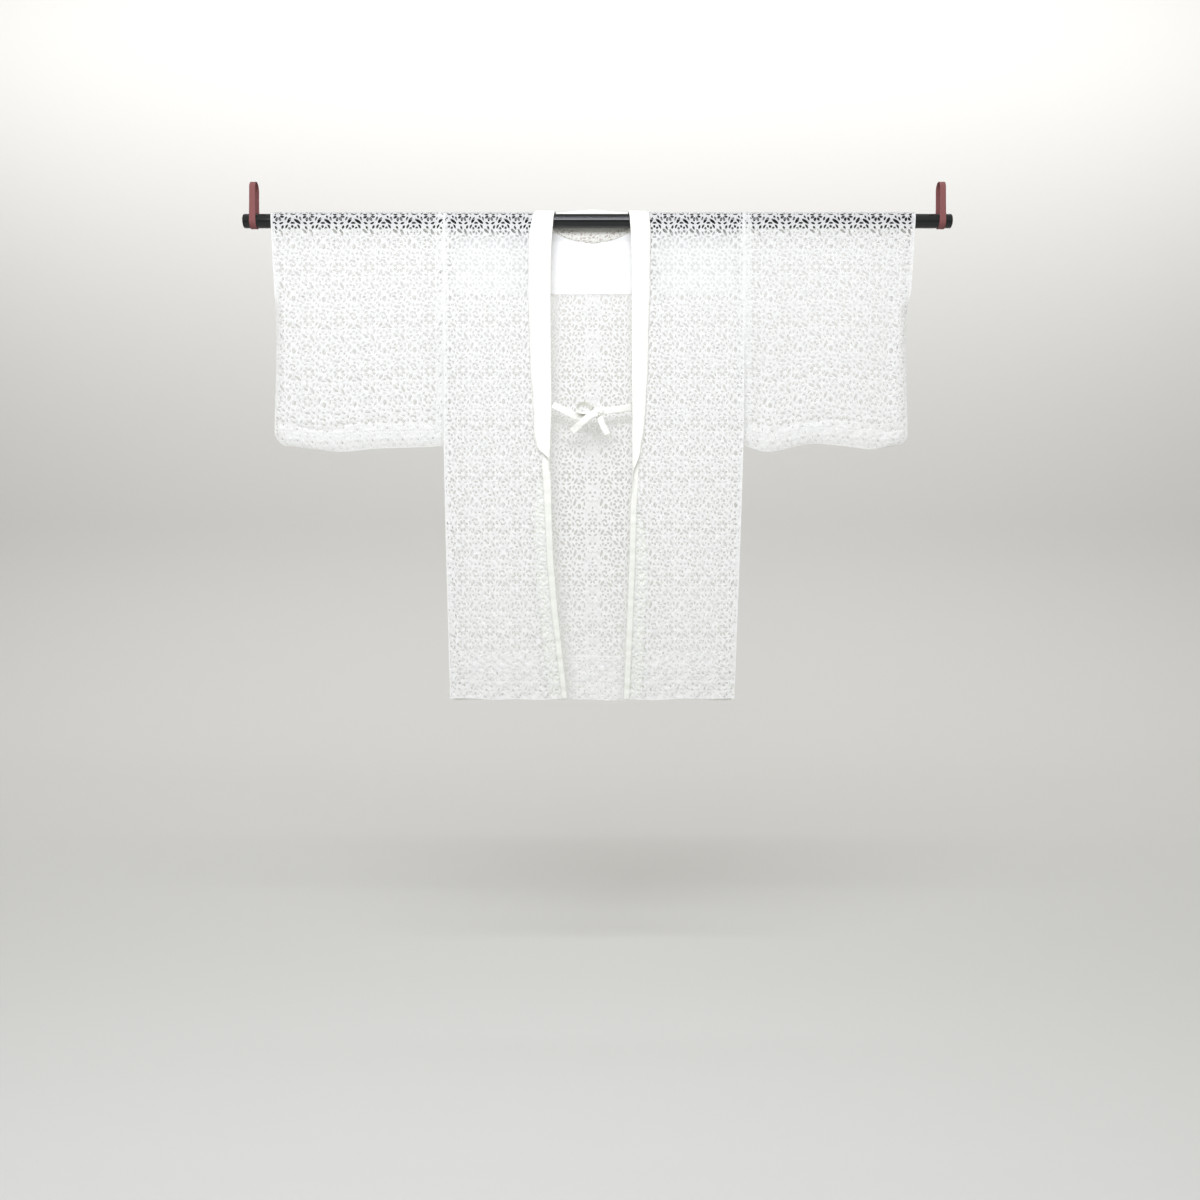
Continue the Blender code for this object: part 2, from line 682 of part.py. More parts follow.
def make_sleeve(side):
    foot = QUARTER + SLEEVE_DROP
    left, right = signed(
        side,
        lambda down: body_edge(side, down) + GAP + 2.0 * smooth(ARMHOLE_DROP, SLEEVE_DROP, down - QUARTER),
        lambda down: cuff_edge(side, down),
    )
    cuff_steps = (3.0, 9.0, CUFF_ROUND)
    left_steps, right_steps = (cuff_steps, ()) if side == "left" else ((), cuff_steps)
    def stops(down):
        return spread(left(down), right(down), 6, left_steps, right_steps)

    rows = bend_rows() + [QUARTER + drop for drop in SLEEVE_DROPS] + [foot]
    origin = -612.8 if side == "left" else 364.5
    margins = (28.0, EDGE_MARGIN) if side == "left" else (EDGE_MARGIN, 28.0)
    gaps = lace_gaps(left, right, foot - 20.0, origin, 62.0, margins)
    for face, outward in (("front", (0.0, -1.0, 0.0)), ("back", (0.0, 1.0, 0.0))):
        name = f"sleeve_{side}_{face}"
        cloth_wall(
            name,
            rows,
            stops,
            lambda x, down, name=name: sleeve_point(name, x, down),
            LACE_WALL,
            "lace",
            gaps,
            outward,
        )
    front = f"sleeve_{side}_front"
    low, high = signed(
        side, lambda down: body_edge(side, down) + 6.0, lambda down: cuff_edge(side, down) - 26.0
    )
    cloth_wall(
        f"sleeve_{side}_allowance",
        [QUARTER + drop for drop in SLEEVE_DROPS if foot - ALLOWANCE <= QUARTER + drop < foot - 10],
        lambda down: within(stops(down), low(down), high(down)),
        lambda x, down: sleeve_point(front, x, down, -LAYER),
        LACE_WALL,
        "lace",
    )


def gusset_width(down):
    drop = down - QUARTER
    run = (drop - ARMHOLE_DROP) / (FRONT_DROP - ARMHOLE_DROP)
    return GUSSET_TOP_WIDTH + (GUSSET_HEM_WIDTH - GUSSET_TOP_WIDTH) * run


def make_gusset(side):
    """The side gusset between front and back: its spare width bows inwards."""
    sign = -1 if side == "left" else 1
    foot = QUARTER + FRONT_DROP

    def place(across, down):
        chord = 2 * (body_half(down) - LACE_WALL / 2 - GUSSET_ROOM)
        width = gusset_width(down)
        bow = chord / math.pi * 2 * math.sqrt(max(width / chord - 1, 0.0))
        t = across / width
        x = body_edge(side, down) - LACE_WALL / 2 - bow * math.sin(math.pi * t) ** 2
        return world(sign * x, chord * (t - 0.5), QUARTER - down)

    gaps = []
    down = QUARTER + FIRST_GAP + 2 * REPEAT_DOWN
    while down < foot - HEM_BAND:
        gaps.append(gap_outline(gusset_width(down) / 2, down))
        down += REPEAT_DOWN
    cloth_wall(
        f"gusset_{side}",
        body_rows(ARMHOLE_DROP - 1, foot),
        lambda down: [gusset_width(down) * share for share in GUSSET_STOPS],
        place,
        LACE_WALL,
        "lace",
        gaps,
        (sign, 0.0, 0.0),
    )


def collar_rest(turn, flap):
    """The rounded fold and the flap beyond it, as reaches onward and rises to the side it turns to."""
    angle = math.radians(turn)
    rest = []
    for n in range(1, COLLAR_BEND_POINTS + 1):
        half = angle * n / COLLAR_BEND_POINTS / 2
        length = COLLAR_BEND_LENGTH * n / COLLAR_BEND_POINTS
        chord = length if abs(half) < 1e-3 else length * math.sin(half) / half
        rest.append((chord * math.cos(half), chord * math.sin(half)))
    reach, rise = rest[-1]
    return rest + [(reach + flap * math.cos(angle), rise + flap * math.sin(angle))]


def collar_section(seam, level, normal, straight, rest):
    """The collar's width at one place, from its seam along level, then turned towards normal."""
    fold = seam + level * straight * MM
    return [seam, fold] + [fold + (level * reach + normal * rise) * MM for reach, rise in rest]


def surface_normal(facing, down):
    """Outwards from the cloth as it passes over the rod and down."""
    angle = min(down / LACE_BEND, math.pi / 2)
    return Vector((0.0, facing * math.sin(angle), math.cos(angle)))


def make_collar_front(side):
    sign = -1 if side == "left" else 1
    table = COLLAR[side]
    rows = bend_rows() + body_rows(0.0, QUARTER + FRONT_DROP)
    rows = sorted(rows + [QUARTER + drop for drop in TURN_DROPS[side]])
    sections = []
    for down in rows:
        values = {column: read(table, "drop", column, down - QUARTER) for column in Station._fields[1:]}
        rest = collar_rest(min(max(values["turn"], -180.0), 180.0), values["flap"])
        straight = values["inner"] - COLLAR_WALL / 2 - max(reach for reach, rise in rest)
        seam = body_point(f"front_{side}", sign * collar_seam(side, down), down)
        level = Vector((-sign, 0.0, 0.0))
        normal = surface_normal(-1, down)
        sections.append(collar_section(seam, level, normal, max(straight, 2.0), rest))
    loft(f"collar_{side}", sections if side == "left" else sections[::-1], COLLAR_WALL, "collar")


def make_collar_back():
    """The collar round the back of the neck, from one shoulder's end to the other's."""
    downs = neck_rows()
    stations = [(-1, down) for down in downs] + [(1, down) for down in reversed(downs[:-1])]
    sections = []
    for sign, down in stations:
        row = Neck(down, *(read(NECK, "down", column, down) for column in Neck._fields[1:]))
        scale = NECK_RIGHT if sign > 0 else 1.0
        edge = hung(1, sign * row.seam * scale, down, body_half(down), 0.0)
        fold = world(sign * row.fold_x * scale, row.fold_y, row.fold_z)
        free = world(sign * row.free_x * scale, row.free_y, row.free_z)
        level = (fold - edge).normalized()
        inner = (fold - edge).length / MM
        onward = (free - fold) / MM
        aside = onward + surface_normal(1, down) * COLLAR_BEND_LENGTH / 2
        normal = (aside - level * aside.dot(level)).normalized()
        turn = math.degrees(math.atan2(onward.dot(normal), onward.dot(level)))
        turn = 180 - (180 - turn) * smooth(0.0, QUARTER, down)
        seam = edge + level * GAP * MM
        rest = collar_rest(turn, onward.length - FOLD_REACH)
        sections.append(collar_section(seam, level, normal, inner - FOLD_REACH, rest))
    loft("collar_back", sections[::-1], COLLAR_WALL, "collar")


def make_tie(name):
    """One strip of the tie, along its stops."""
    stops = TIES[name]
    numbered = [(n, stop) for n, stop in enumerate(stops)]
    Numbered = namedtuple("Numbered", "n x drop fore lean")
    rows = [Numbered(n, *stop) for n, stop in numbered]

    def centre(at):
        x, drop, fore = (read(rows, "n", column, at) for column in ("x", "drop", "fore"))
        return Vector((x, -fore, -drop))

    steps = 2 * (len(stops) - 1)
    last = len(stops) - 1
    forwards = Vector((0.0, -1.0, 0.0))
    sections = []
    for n in range(steps + 1):
        at = last * n / steps
        here = centre(at)
        heading = (centre(min(at + 0.05, last)) - centre(max(at - 0.05, 0.0))).normalized()
        across = heading.cross(forwards).normalized()
        lean = math.radians(read(rows, "n", "lean", at))
        reach = (across * math.cos(lean) + forwards * math.sin(lean)) * TIE_WIDTH / 2
        sections.append([world(*(here - reach)), world(*here), world(*(here + reach))])
    loft(name, sections, TIE_WALL, "collar")


def make_knot():
    bpy.ops.mesh.primitive_uv_sphere_add(segments=12, ring_count=7, radius=1.0)
    knot = bpy.context.object
    knot.name = "tie_knot"
    knot.location = world(KNOT.x, -KNOT.fore, -KNOT.drop)
    knot.scale = [size * MM for size in KNOT_SIZE]
    bpy.ops.object.transform_apply(location=False, rotation=False, scale=True)
    knot.data.shade_smooth()
    take_in(knot, "collar")


def make_rod():
    bpy.ops.mesh.primitive_cylinder_add(
        vertices=ROD_SIDES, radius=ROD_RADIUS * MM, depth=ROD_LENGTH * MM
    )
    rod = bpy.context.object
    rod.name = "rod"
    rod.location = (0.0, 0.0, ROD_Z * MM)
    rod.rotation_euler = (0.0, math.pi / 2, 0.0)
    rod.data.shade_smooth()
    rounding = rod.modifiers.new("rounded ends", "BEVEL")
    rounding.width = ROD_ROUNDING * MM
    rounding.segments = 2
    rounding.limit_method = "ANGLE"
    rounding.angle_limit = math.radians(60)
    take_in(rod, "lacquer")


def racetrack(radius):
    """Outline of a band round the rod below and a hook above, in the loop's own plane."""
    points = []
    for n in range(LOOP_BEND_STEPS + 1):
        angle = math.pi * n / LOOP_BEND_STEPS
        points.append((radius * math.cos(angle), LOOP_RUN + radius * math.sin(angle)))
    for n in range(LOOP_BEND_STEPS + 1):
        angle = math.pi + math.pi * n / LOOP_BEND_STEPS
        points.append((radius * math.cos(angle), radius * math.sin(angle)))
    return points


def make_loop(side):
    sign = -1 if side == "left" else 1
    name = f"loop_{side}"
    curve = bpy.data.curves.new(name, "CURVE")
    curve.dimensions = "2D"
    curve.fill_mode = "BOTH"
    curve.extrude = LOOP_WIDTH / 2 * MM
    inner = LOOP_INNER / math.cos(math.pi / 2 / LOOP_BEND_STEPS)
    for radius in (inner + LOOP_WALL, inner):
        outline = curve.splines.new("POLY")
        points = racetrack(radius)
        outline.points.add(len(points) - 1)
        for point, (along, up) in zip(outline.points, points):
            point.co = (along * MM, up * MM, 0.0, 1.0)
        outline.use_cyclic_u = True
    loop = add_object(name, curve, "tape")
    loop.location = (sign * LOOP_CENTRE * MM, 0.0, ROD_Z * MM)
    loop.rotation_euler = (math.pi / 2, 0.0, math.pi / 2)


def main():
    for old in list(bpy.data.objects):
        bpy.data.objects.remove(old)
    bpy.context.scene.collection.children.link(bpy.data.collections.new("haori"))
    for side in ("left", "right"):
        make_front(side)
        make_back(side)
        make_sleeve(side)
        make_gusset(side)
        make_collar_front(side)
        make_loop(side)
    make_collar_back()
    for name in TIES:
        make_tie(name)
    make_knot()
    make_rod()


main()
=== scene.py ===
# %% [markdown]
# # A white lace haori on a black rod
# A haori is a short open coat that is worn over a kimono. This one is cut from white floral lace and hangs
# flat over a lacquered rod, which two tape loops carry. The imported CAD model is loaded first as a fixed
# frame. Every piece is then made in that frame, in the place of its solid, with the cloth as thin sheets
# and the lace with its real openings.

import math
from collections import namedtuple

import bmesh
import bpy
import numpy as np
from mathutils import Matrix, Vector
from mathutils.geometry import delaunay_2d_cdt

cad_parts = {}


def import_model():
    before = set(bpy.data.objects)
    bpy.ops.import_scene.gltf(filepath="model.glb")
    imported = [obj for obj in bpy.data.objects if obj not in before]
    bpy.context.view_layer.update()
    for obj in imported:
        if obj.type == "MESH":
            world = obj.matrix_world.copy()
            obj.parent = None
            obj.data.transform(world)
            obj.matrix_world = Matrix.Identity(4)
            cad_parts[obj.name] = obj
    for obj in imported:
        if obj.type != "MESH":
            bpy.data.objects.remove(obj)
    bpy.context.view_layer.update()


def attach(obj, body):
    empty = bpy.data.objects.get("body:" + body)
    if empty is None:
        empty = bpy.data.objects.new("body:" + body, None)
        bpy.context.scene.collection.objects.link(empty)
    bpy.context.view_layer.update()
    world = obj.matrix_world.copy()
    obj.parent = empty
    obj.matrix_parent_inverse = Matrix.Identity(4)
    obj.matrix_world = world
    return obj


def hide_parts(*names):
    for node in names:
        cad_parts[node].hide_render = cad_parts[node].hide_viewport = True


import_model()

# %% [markdown]
# ## Sizes
# These values repeat the solids' own, in millimetres. In the cloth's flat plane "x" is the distance from
# its centre line, negative on the left, and "down" is the length along the cloth from its shoulder fold.
# "drop" is a height below the rod's axis.

# %% Sizes of the rod, the loops and the hanging cloth
MM = 0.001
SIGN = {"left": -1, "right": 1}
GAP = 0.3
LACE_WALL = 1.6
COLLAR_WALL = 2.0
LINING_WALL = 1.0

ROD_RADIUS = 14.5
LOOP_CENTRE = 707.0
LOOP_WIDTH = 12.0
LOOP_WALL = 1.5
LOOP_RUN = 64.0
LOOP_INNER = ROD_RADIUS + GAP
ROD_Z = -(LOOP_INNER + LOOP_RUN)

CLOTH_SHIFT = -10.0
BEND_STEPS = 5
HALF_STEP = math.pi / 4 / BEND_STEPS
LINING_BEND = (ROD_RADIUS + GAP + LINING_WALL / 2) / math.cos(HALF_STEP)
LACE_BEND = LINING_BEND + LINING_WALL / 2 + GAP + LACE_WALL / 2
LINING_OUT = LINING_BEND - LACE_BEND
QUARTER = math.pi / 2 * LACE_BEND
LAYER = LACE_WALL + GAP

FRONT_DROP = 981.0
BACK_DROP = 988.0
BODY_DROPS = [75.0, 140.0, 205.0, 300.0, 400.0, 500.0, 600.0, 700.0, 800.0, 889.0, 935.0, 981.0]
HEM_HALF = 23.0
SPREAD_FROM = 230.0
ARMHOLE_DROP = 205.0
HEM_BAND = 92.0
GUSSET_TOP_WIDTH = 32.0
GUSSET_HEM_WIDTH = 60.0
GUSSET_ROOM = 0.5
YOKE_DROP = 147.0
YOKE_INSET = 9.0
TURN_UP_INSET = 3.0
COLLAR_INSET = 27.0

SLEEVE_DROP = 467.0
SLEEVE_FOOT_HALF = 6.0
SEAM_HALF = GAP / 2 + LACE_WALL / 2
FOOT_ROUND = 24.0
CUFF_ROUND = 20.0
WRIST_DROP = 180.0
ALLOWANCE = 48.0
print("rod axis at", ROD_Z, "mm; a quarter turn over it takes", round(QUARTER, 2), "mm of lace")


# %% Outlines of the cut
def table(row, *rows):
    """Rows of numbers as named rows. The first number is the row's place where a table is read."""
    return [row(*numbers) for numbers in rows]


Edge = namedtuple("Edge", "drop left right")
BODY_EDGE = table(Edge, (-27, 304, 310), (240, 304, 310), (480, 304, 307.5), (988, 290.5, 288.5))
CUFF_EDGE = table(
    Edge,
    *((-27, 660, 662), (60, 656.5, 657.5), (150, 652, 652), (200, 651, 645.5)),
    *((300, 651, 645), (400, 654, 647), (467, 655, 648.5)),
)
CORNER_RADIUS = {"left": 33.0, "right": 24.0}
# How much lower than SLEEVE_DROP a sleeve's bottom hangs, from the body (0) to the cuff (1)
Sag = namedtuple("Sag", "along left right")
SLEEVE_SAG = table(
    Sag, (0, -4, -6), (0.16, -1, 8), (0.45, 2, -8), (0.67, 8, -3), (0.85, 3, 3), (1, -3, -6)
)

# Soft upright folds: x of the crest, half width, height outwards, and the drops where it runs out
Fold = namedtuple("Fold", "x width height top foot")
FOLD_ROWS = {
    "sleeve_left_front": ((-566, 34, 1.8, 60, 415), (-474, 46, -1.6, 120, 415), (-392, 30, 1.4, 40, 400)),
    "sleeve_left_back": ((-590, 42, -1.5, 90, 440), (-500, 36, 2, 50, 420), (-405, 44, -1.4, 150, 440)),
    "sleeve_right_front": ((611, 13, -3.2, 150, 415), (540, 40, 1.7, 70, 410), (430, 34, -1.5, 110, 405)),
    "sleeve_right_back": ((588, 30, 1.8, 60, 440), (486, 48, -1.6, 130, 435), (392, 32, 1.5, 50, 400)),
    "front_left": ((-262, 26, 1.6, 120, 1100), (-205, 30, -1.8, 260, 1100)),
    "front_right": ((252, 30, -1.6, 180, 1100), (196, 26, 1.9, 90, 1100)),
    "back_left": ((-236, 34, 2.2, 215, 1100), (-150, 40, -1.8, 300, 1100), (-66, 30, 1.6, 240, 1100)),
    "back_right": ((244, 38, -1.9, 260, 1100), (160, 34, 2.1, 215, 1100), (72, 36, -1.6, 330, 1100)),
}
FOLDS = {panel: table(Fold, *rows) for panel, rows in FOLD_ROWS.items()}
FOLD_FADE = 48.0

# %% The collar and the neck
# "fold" is the collar's visible inner edge from the centre line, "inner" the width sewn to the front,
# "turn" how far the rest is turned over that fold (180 outwards, -180 under it), "flap" its width.
Station = namedtuple("Station", "drop fold inner turn flap")
COLLAR = {
    "left": table(
        Station,
        *((-27, 76, 27, 180, 35.8), (0, 80, 27, 180, 41.5), (30, 84, 26, 180, 44.2)),
        *((120, 85.5, 25, 180, 43.6), (266, 85.5, 24, 180, 41), (380, 84, 21, 180, 35.5)),
        *((440, 84, 18.5, 180, 31.5), (460, 84.3, 18, 180, 28), (472, 84.7, 17.5, 178, 22.5)),
        *((480, 85.1, 17, 170, 14), (487, 85.7, 17, 150, 7), (494, 86.3, 17, 100, 4.5)),
        *((501, 86.9, 17, 50, 4), (508, 87.2, 17, 0, 4), (516, 87.3, 17, -60, 5)),
        *((525, 87, 17, -120, 9), (541, 86.3, 17, -165, 18), (562, 85.5, 16.5, -180, 30)),
        *((600, 83.5, 15, -180, 35), (740, 77, 14, -180, 36), (981, 51.3, 11.5, -180, 36)),
    ),
    "right": table(
        Station,
        *((-27, 72, 27, 180, 37.5), (0, 76, 27, 180, 38.5), (30, 78.5, 26, 180, 38)),
        *((120, 79.5, 25, 180, 35.5), (266, 80, 23, 180, 31.7), (340, 80.5, 21, 180, 28.5)),
        *((410, 81, 18.5, 180, 24), (450, 81, 17, 180, 19), (480, 80.8, 15, 178, 14)),
        *((500, 80.5, 14, 150, 9.5), (515, 80.2, 13.5, 110, 7), (528, 79.8, 13, 65, 5.5)),
        *((541, 79.3, 13, 20, 5), (554, 78.8, 13, -30, 5), (568, 78.2, 13, -85, 7)),
        *((582, 77.7, 13, -130, 10), (600, 77, 13, -165, 17), (620, 76.5, 13, -180, 24)),
        *((655, 75.5, 13, -180, 31), (720, 74, 13, -180, 36), (981, 62.8, 12.5, -180, 36)),
    ),
}
# The neck seam behind the rod, and how the collar stands from it. "fold" and "free" are places of its
# fold line and its free edge: x from the centre line, y behind the rod's axis, z above it.
Neck = namedtuple("Neck", "down seam fold_x fold_y fold_z free_x free_y free_z")
NECK = table(
    Neck,
    *((0, 103, 76, 0, 17.2, 114, 0, 19.8), (7, 102.3, 75.5, 6.9, 16.2, 113.3, 8, 18.6)),
    *((14, 101, 74, 13, 13.5, 110.5, 16.5, 16.6), (21, 98.5, 72, 17.6, 9.8, 105, 25.5, 19)),
    *((28, 95, 68.6, 19.4, 7.6, 96.5, 32.5, 24), (34, 90.5, 64.6, 20.2, 6.6, 86.5, 37, 28)),
    *((42, 82, 58.6, 20.6, 5, 73, 39, 30.6), (48, 73.4, 53, 20.7, 3.4, 62.5, 38.5, 31.4)),
    *((53, 64, 47, 20.6, 1.6, 53.5, 36.5, 31.6), (57.5, 53.6, 40.4, 20.4, -0.4, 44.5, 33.5, 31.6)),
    *((61, 43, 33.2, 20.2, -2, 36, 30.5, 31.4), (64, 31.8, 25, 19.9, -3.2, 27, 27.5, 31.2)),
    *((66, 22, 17.5, 19.7, -4.2, 18.8, 25.2, 31), (67.4, 11.5, 9.2, 19.5, -4.8, 9.8, 23.6, 31)),
    (68, 0, 0, 19.4, -5, 0, 23, 31),
)
NECK_SCALE = {"left": 1.0, "right": 0.96}
NECK_FOOT = NECK[-1].down
NECK_EASE = 1.5
COLLAR_BEND_LENGTH = 4.1
FOLD_REACH = 2.3

# The ties: each stop's number, x, drop, how far the strip lies in front of the rod's axis, and how far
# its width leans from facing forwards (0) to lying edge on (90)
Stop = namedtuple("Stop", "n x drop fore lean")
TIE_ROWS = {
    "tie_left": (
        *((-81.5, 381, 19.5, 20), (-66, 389, 22.5, 10), (-48, 399, 23, 0)),
        *((-30, 406, 22.5, 0), (-10, 404.5, 21.8, 0), (9, 397, 21.7, 0)),
    ),
    "tie_right": ((79.6, 387, 19.5, 20), (60, 390, 22.5, 10), (38, 392.5, 22, 0), (13, 395, 21.75, 0)),
    "tie_tail_long": ((8.5, 398.5, 35.3, 0), (-8, 408, 38, -10), (-26, 424.5, 36, 15), (-43, 439, 32, 5)),
    "tie_tail_short": ((14, 405.7, 28.6, 0), (20.5, 424, 29, 20), (31, 444, 28, 0)),
    "tie_bow": (
        *((0.6, 391, 28.4, 45), (-13, 381, 28.5, 60), (-26, 381.5, 29.5, 65), (-32, 390, 30, 65)),
        *((-26, 398, 29.5, 65), (-13, 399, 29, 60), (-0.4, 398, 29.8, 50)),
    ),
}
TIES = {name: [Stop(n, *row) for n, row in enumerate(rows)] for name, rows in TIE_ROWS.items()}
TIE_WIDTH = 14.0
KNOT = Stop(0, 11.0, 397.0, 28.6, 0.0)
KNOT_SIZE = (11.0, 6.0, 8.5)
print("collar stations", {side: len(rows) for side, rows in COLLAR.items()}, "neck rows", len(NECK))

# %% [markdown]
# ## Reading the tables and hanging the cloth
# A dressmaker thinks of the flat cut first and of how it hangs second, and the code does the same. Tables
# are read on smooth curves, and a few functions hang flat points over the rod. They take whole arrays of
# points at once, which keeps half a million lace triangles quick.

# %% Smooth curves through the tables
def smooth(low, high, value):
    """Rises from 0 at low to 1 at high with level ends."""
    t = np.clip((value - low) / (high - low), 0.0, 1.0)
    return t * t * (3 - 2 * t)


def round_off(t):
    """A soft rise from 0 at a pressed edge to 1, level one radius in."""
    return np.sin(math.pi / 2 * np.clip(t, 0.0, 1.0))


def read(rows, column, at):
    """Reads a table's column between its rows, on a smooth curve through them."""
    places = np.array([row[0] for row in rows], float)
    values = np.array([getattr(row, column) for row in rows], float)
    last = len(rows) - 1
    low = np.maximum(np.arange(last + 1) - 1, 0)
    high = np.minimum(np.arange(last + 1) + 1, last)
    slopes = (values[high] - values[low]) / (places[high] - places[low])
    at = np.clip(at, places[0], places[-1])
    n = np.clip(np.searchsorted(places, at, side="right") - 1, 0, last - 1)
    span = places[n + 1] - places[n]
    t = (at - places[n]) / span
    start = values[n] * (1 + 2 * t) * (1 - t) ** 2
    end = values[n + 1] * t * t * (3 - 2 * t)
    lean = slopes[n] * t * (1 - t) ** 2 - slopes[n + 1] * t * t * (1 - t)
    return start + end + span * lean


# %% The cut's edges
def body_edge(side, down):
    return read(BODY_EDGE, side, down - QUARTER)


def cuff_edge(side, down):
    """The sleeve's outer edge, with its bottom corner rounded."""
    drop = down - QUARTER
    radius = CORNER_RADIUS[side]
    into = np.clip(drop - (SLEEVE_DROP - radius), 0.0, radius)
    return read(CUFF_EDGE, side, drop) - radius + np.sqrt(radius**2 - into**2)


def collar_seam(side, down):
    """Where the front panel ends and the collar is sewn on, straight from row to row."""
    drops = np.array([QUARTER * n / BEND_STEPS - QUARTER for n in range(BEND_STEPS + 1)] + BODY_DROPS)
    seam = read(COLLAR[side], "fold", drops) + read(COLLAR[side], "inner", drops)
    return np.interp(down, drops + QUARTER, seam)


def neck_seam(side, down):
    """The back panel's neck edge, which reaches the centre line at the neck's lowest point."""
    return read(NECK, "seam", down) * NECK_SCALE[side]


# %% How it hangs
def world(x, y, z):
    """Points of the cloth, given from the rod's axis on the cloth's centre line, in metres."""
    x, y, z = np.broadcast_arrays(np.asarray(x, float) + CLOTH_SHIFT, y, np.asarray(z, float) + ROD_Z)
    return np.stack([x, y, z], -1) * MM


def body_half(down):
    """Half the depth of the hanging body."""
    spread = smooth(SPREAD_FROM, FRONT_DROP, down - QUARTER)
    return LACE_BEND + (HEM_HALF - LACE_BEND) * spread


def sleeve_half(side, x, down):
    """Half the depth of the hanging sleeve: it narrows to its sewn bottom and lower cuff edge."""
    drop = np.maximum(down - QUARTER, 0.0)
    across = np.abs(x)
    half = LACE_BEND + (SLEEVE_FOOT_HALF - LACE_BEND) * np.minimum(drop / (SLEEVE_DROP - FOOT_ROUND), 1.0)
    sewn = 1 - smooth(ARMHOLE_DROP - 10, ARMHOLE_DROP + 120, drop)
    near_body = 1 - smooth(0.0, 130.0, across - body_edge(side, down))
    half = half + (body_half(down) - half) * sewn * near_body
    foot = round_off((SLEEVE_DROP - drop) / FOOT_ROUND)
    closed = smooth(WRIST_DROP - 30, WRIST_DROP + 20, drop)
    cuff = 1 - closed + closed * round_off((cuff_edge(side, down) - across) / CUFF_ROUND)
    return SEAM_HALF + (half - SEAM_HALF) * foot * cuff


def ripple(panel, x, down, edges):
    """How far the panel's soft folds stand out, level at its edges and next to the rod."""
    drop = down - QUARTER
    total = 0.0
    for fold in FOLDS[panel]:
        length = smooth(fold.top - 50, fold.top + 60, drop) * (1 - smooth(fold.foot - 90, fold.foot, drop))
        total = total + fold.height * np.exp(-(((x - fold.x) / fold.width) ** 2)) * length
    for edge in edges:
        total = total * smooth(0.0, FOLD_FADE, np.abs(x - edge))
    return total


def hung(facing, x, down, half, out, stretch=1.0):
    """Hangs flat points over the rod. facing is -1 in front and 1 behind, out moves them outwards."""
    over = down < QUARTER
    angle = np.minimum(down, QUARTER) / LACE_BEND
    radius = LACE_BEND + out
    y = facing * np.where(over, radius * np.sin(angle), half + out)
    z = np.where(over, radius * np.cos(angle), -(down - QUARTER) * stretch)
    return world(x, y, z)


# %% [markdown]
# ### Small creases
# Cloth that was folded for storage keeps pressed lines, and lace puckers a little beside its seams. These
# are placed uneven in length, depth and spacing, on the hidden sides as well. Each is an oval
# hill or valley of a few tenths of a millimetre to two millimetres.

# %% Creases, listed one by one
# x and drop of the middle, half length, half width, the angle of its length from level, and the height
Crease = namedtuple("Crease", "x drop length width angle height")
CREASE_ROWS = {
    "sleeve_left_front": (
        *((-600, 422, 80, 3.2, -2, -2), (-470, 412, 52, 3, 4, -1.8), (-540, 408, 70, 6, 2, 1.2)),
        *((-380, 426, 60, 5, 1, 0.9), (-628, 250, 90, 9, 84, 1.2), (-350, 330, 110, 8, 95, -1.2)),
    ),
    "sleeve_left_back": (
        *((-580, 418, 90, 4, 3, -1.6), (-420, 408, 70, 5, -3, 1.2), (-350, 300, 120, 9, 88, 1.4)),
    ),
    "sleeve_right_front": (
        *((470, 418, 75, 3.4, 3, -1.6), (560, 410, 60, 4, -4, 1.2), (600, 430, 45, 3, -3, -1.6)),
        *((352, 330, 110, 8, 86, -1.3), (640, 300, 100, 7, 92, 1)),
    ),
    "sleeve_right_back": (
        *((540, 415, 95, 4, -2, -1.5), (400, 405, 60, 5, 4, 1.1), (620, 280, 110, 9, 94, 1.3)),
    ),
    "front_left": (
        *((-225, 560, 95, 10, 78, -1.2), (-150, 700, 120, 8, 97, 1.3), (-270, 760, 110, 9, 85, -1.3)),
        *((-120, 450, 90, 6, 82, -1), (-190, 884, 110, 3, 1, -1)),
    ),
    "front_right": (
        *((130, 560, 110, 9, 98, -1.3), (215, 640, 120, 11, 86, 1.2), (275, 420, 90, 8, 94, 1)),
        *((255, 800, 100, 8, 84, -1.2), (180, 884, 115, 3, -1, -1)),
    ),
    "back_left": (
        *((-40, 520, 150, 10, 91, -1.2), (-120, 640, 120, 9, 84, 1.4)),
        *((-200, 420, 130, 10, 96, -1.3), (-140, 886, 150, 3.2, 0, -1)),
    ),
    "back_right": (
        *((45, 700, 140, 9, 88, 1.2), (125, 500, 120, 10, 97, -1.3)),
        *((210, 620, 140, 9, 86, 1.3), (150, 886, 150, 3.2, 0, -1)),
    ),
}
CREASES = {panel: table(Crease, *rows) for panel, rows in CREASE_ROWS.items()}
RELIEF = 0.3


def crease_height(panel, x, down):
    """The sum of a panel's small creases at flat points."""
    drop = down - QUARTER
    total = np.zeros_like(x)
    for crease in CREASES[panel]:
        angle = math.radians(crease.angle)
        along = (x - crease.x) * math.cos(angle) - (drop - crease.drop) * math.sin(angle)
        across = (x - crease.x) * math.sin(angle) + (drop - crease.drop) * math.cos(angle)
        wander = 3.0 * np.sin(along / 17.0 + crease.x) * min(crease.width / 6.0, 1.0)
        shape = np.exp(-((along / crease.length) ** 4) - ((across + wander) / crease.width) ** 2)
        total += crease.height * shape
    return total


def pucker(x, down, edge_distance):
    """Fine gathers that run in from a sewn edge and fade within 30 mm of it."""
    waves = np.sin(down / 5.7 + 0.8 * np.sin(down / 31.0)) + 0.6 * np.sin(down / 3.1 + x / 90.0)
    return 0.22 * waves * (1 - smooth(2.0, 30.0, edge_distance))


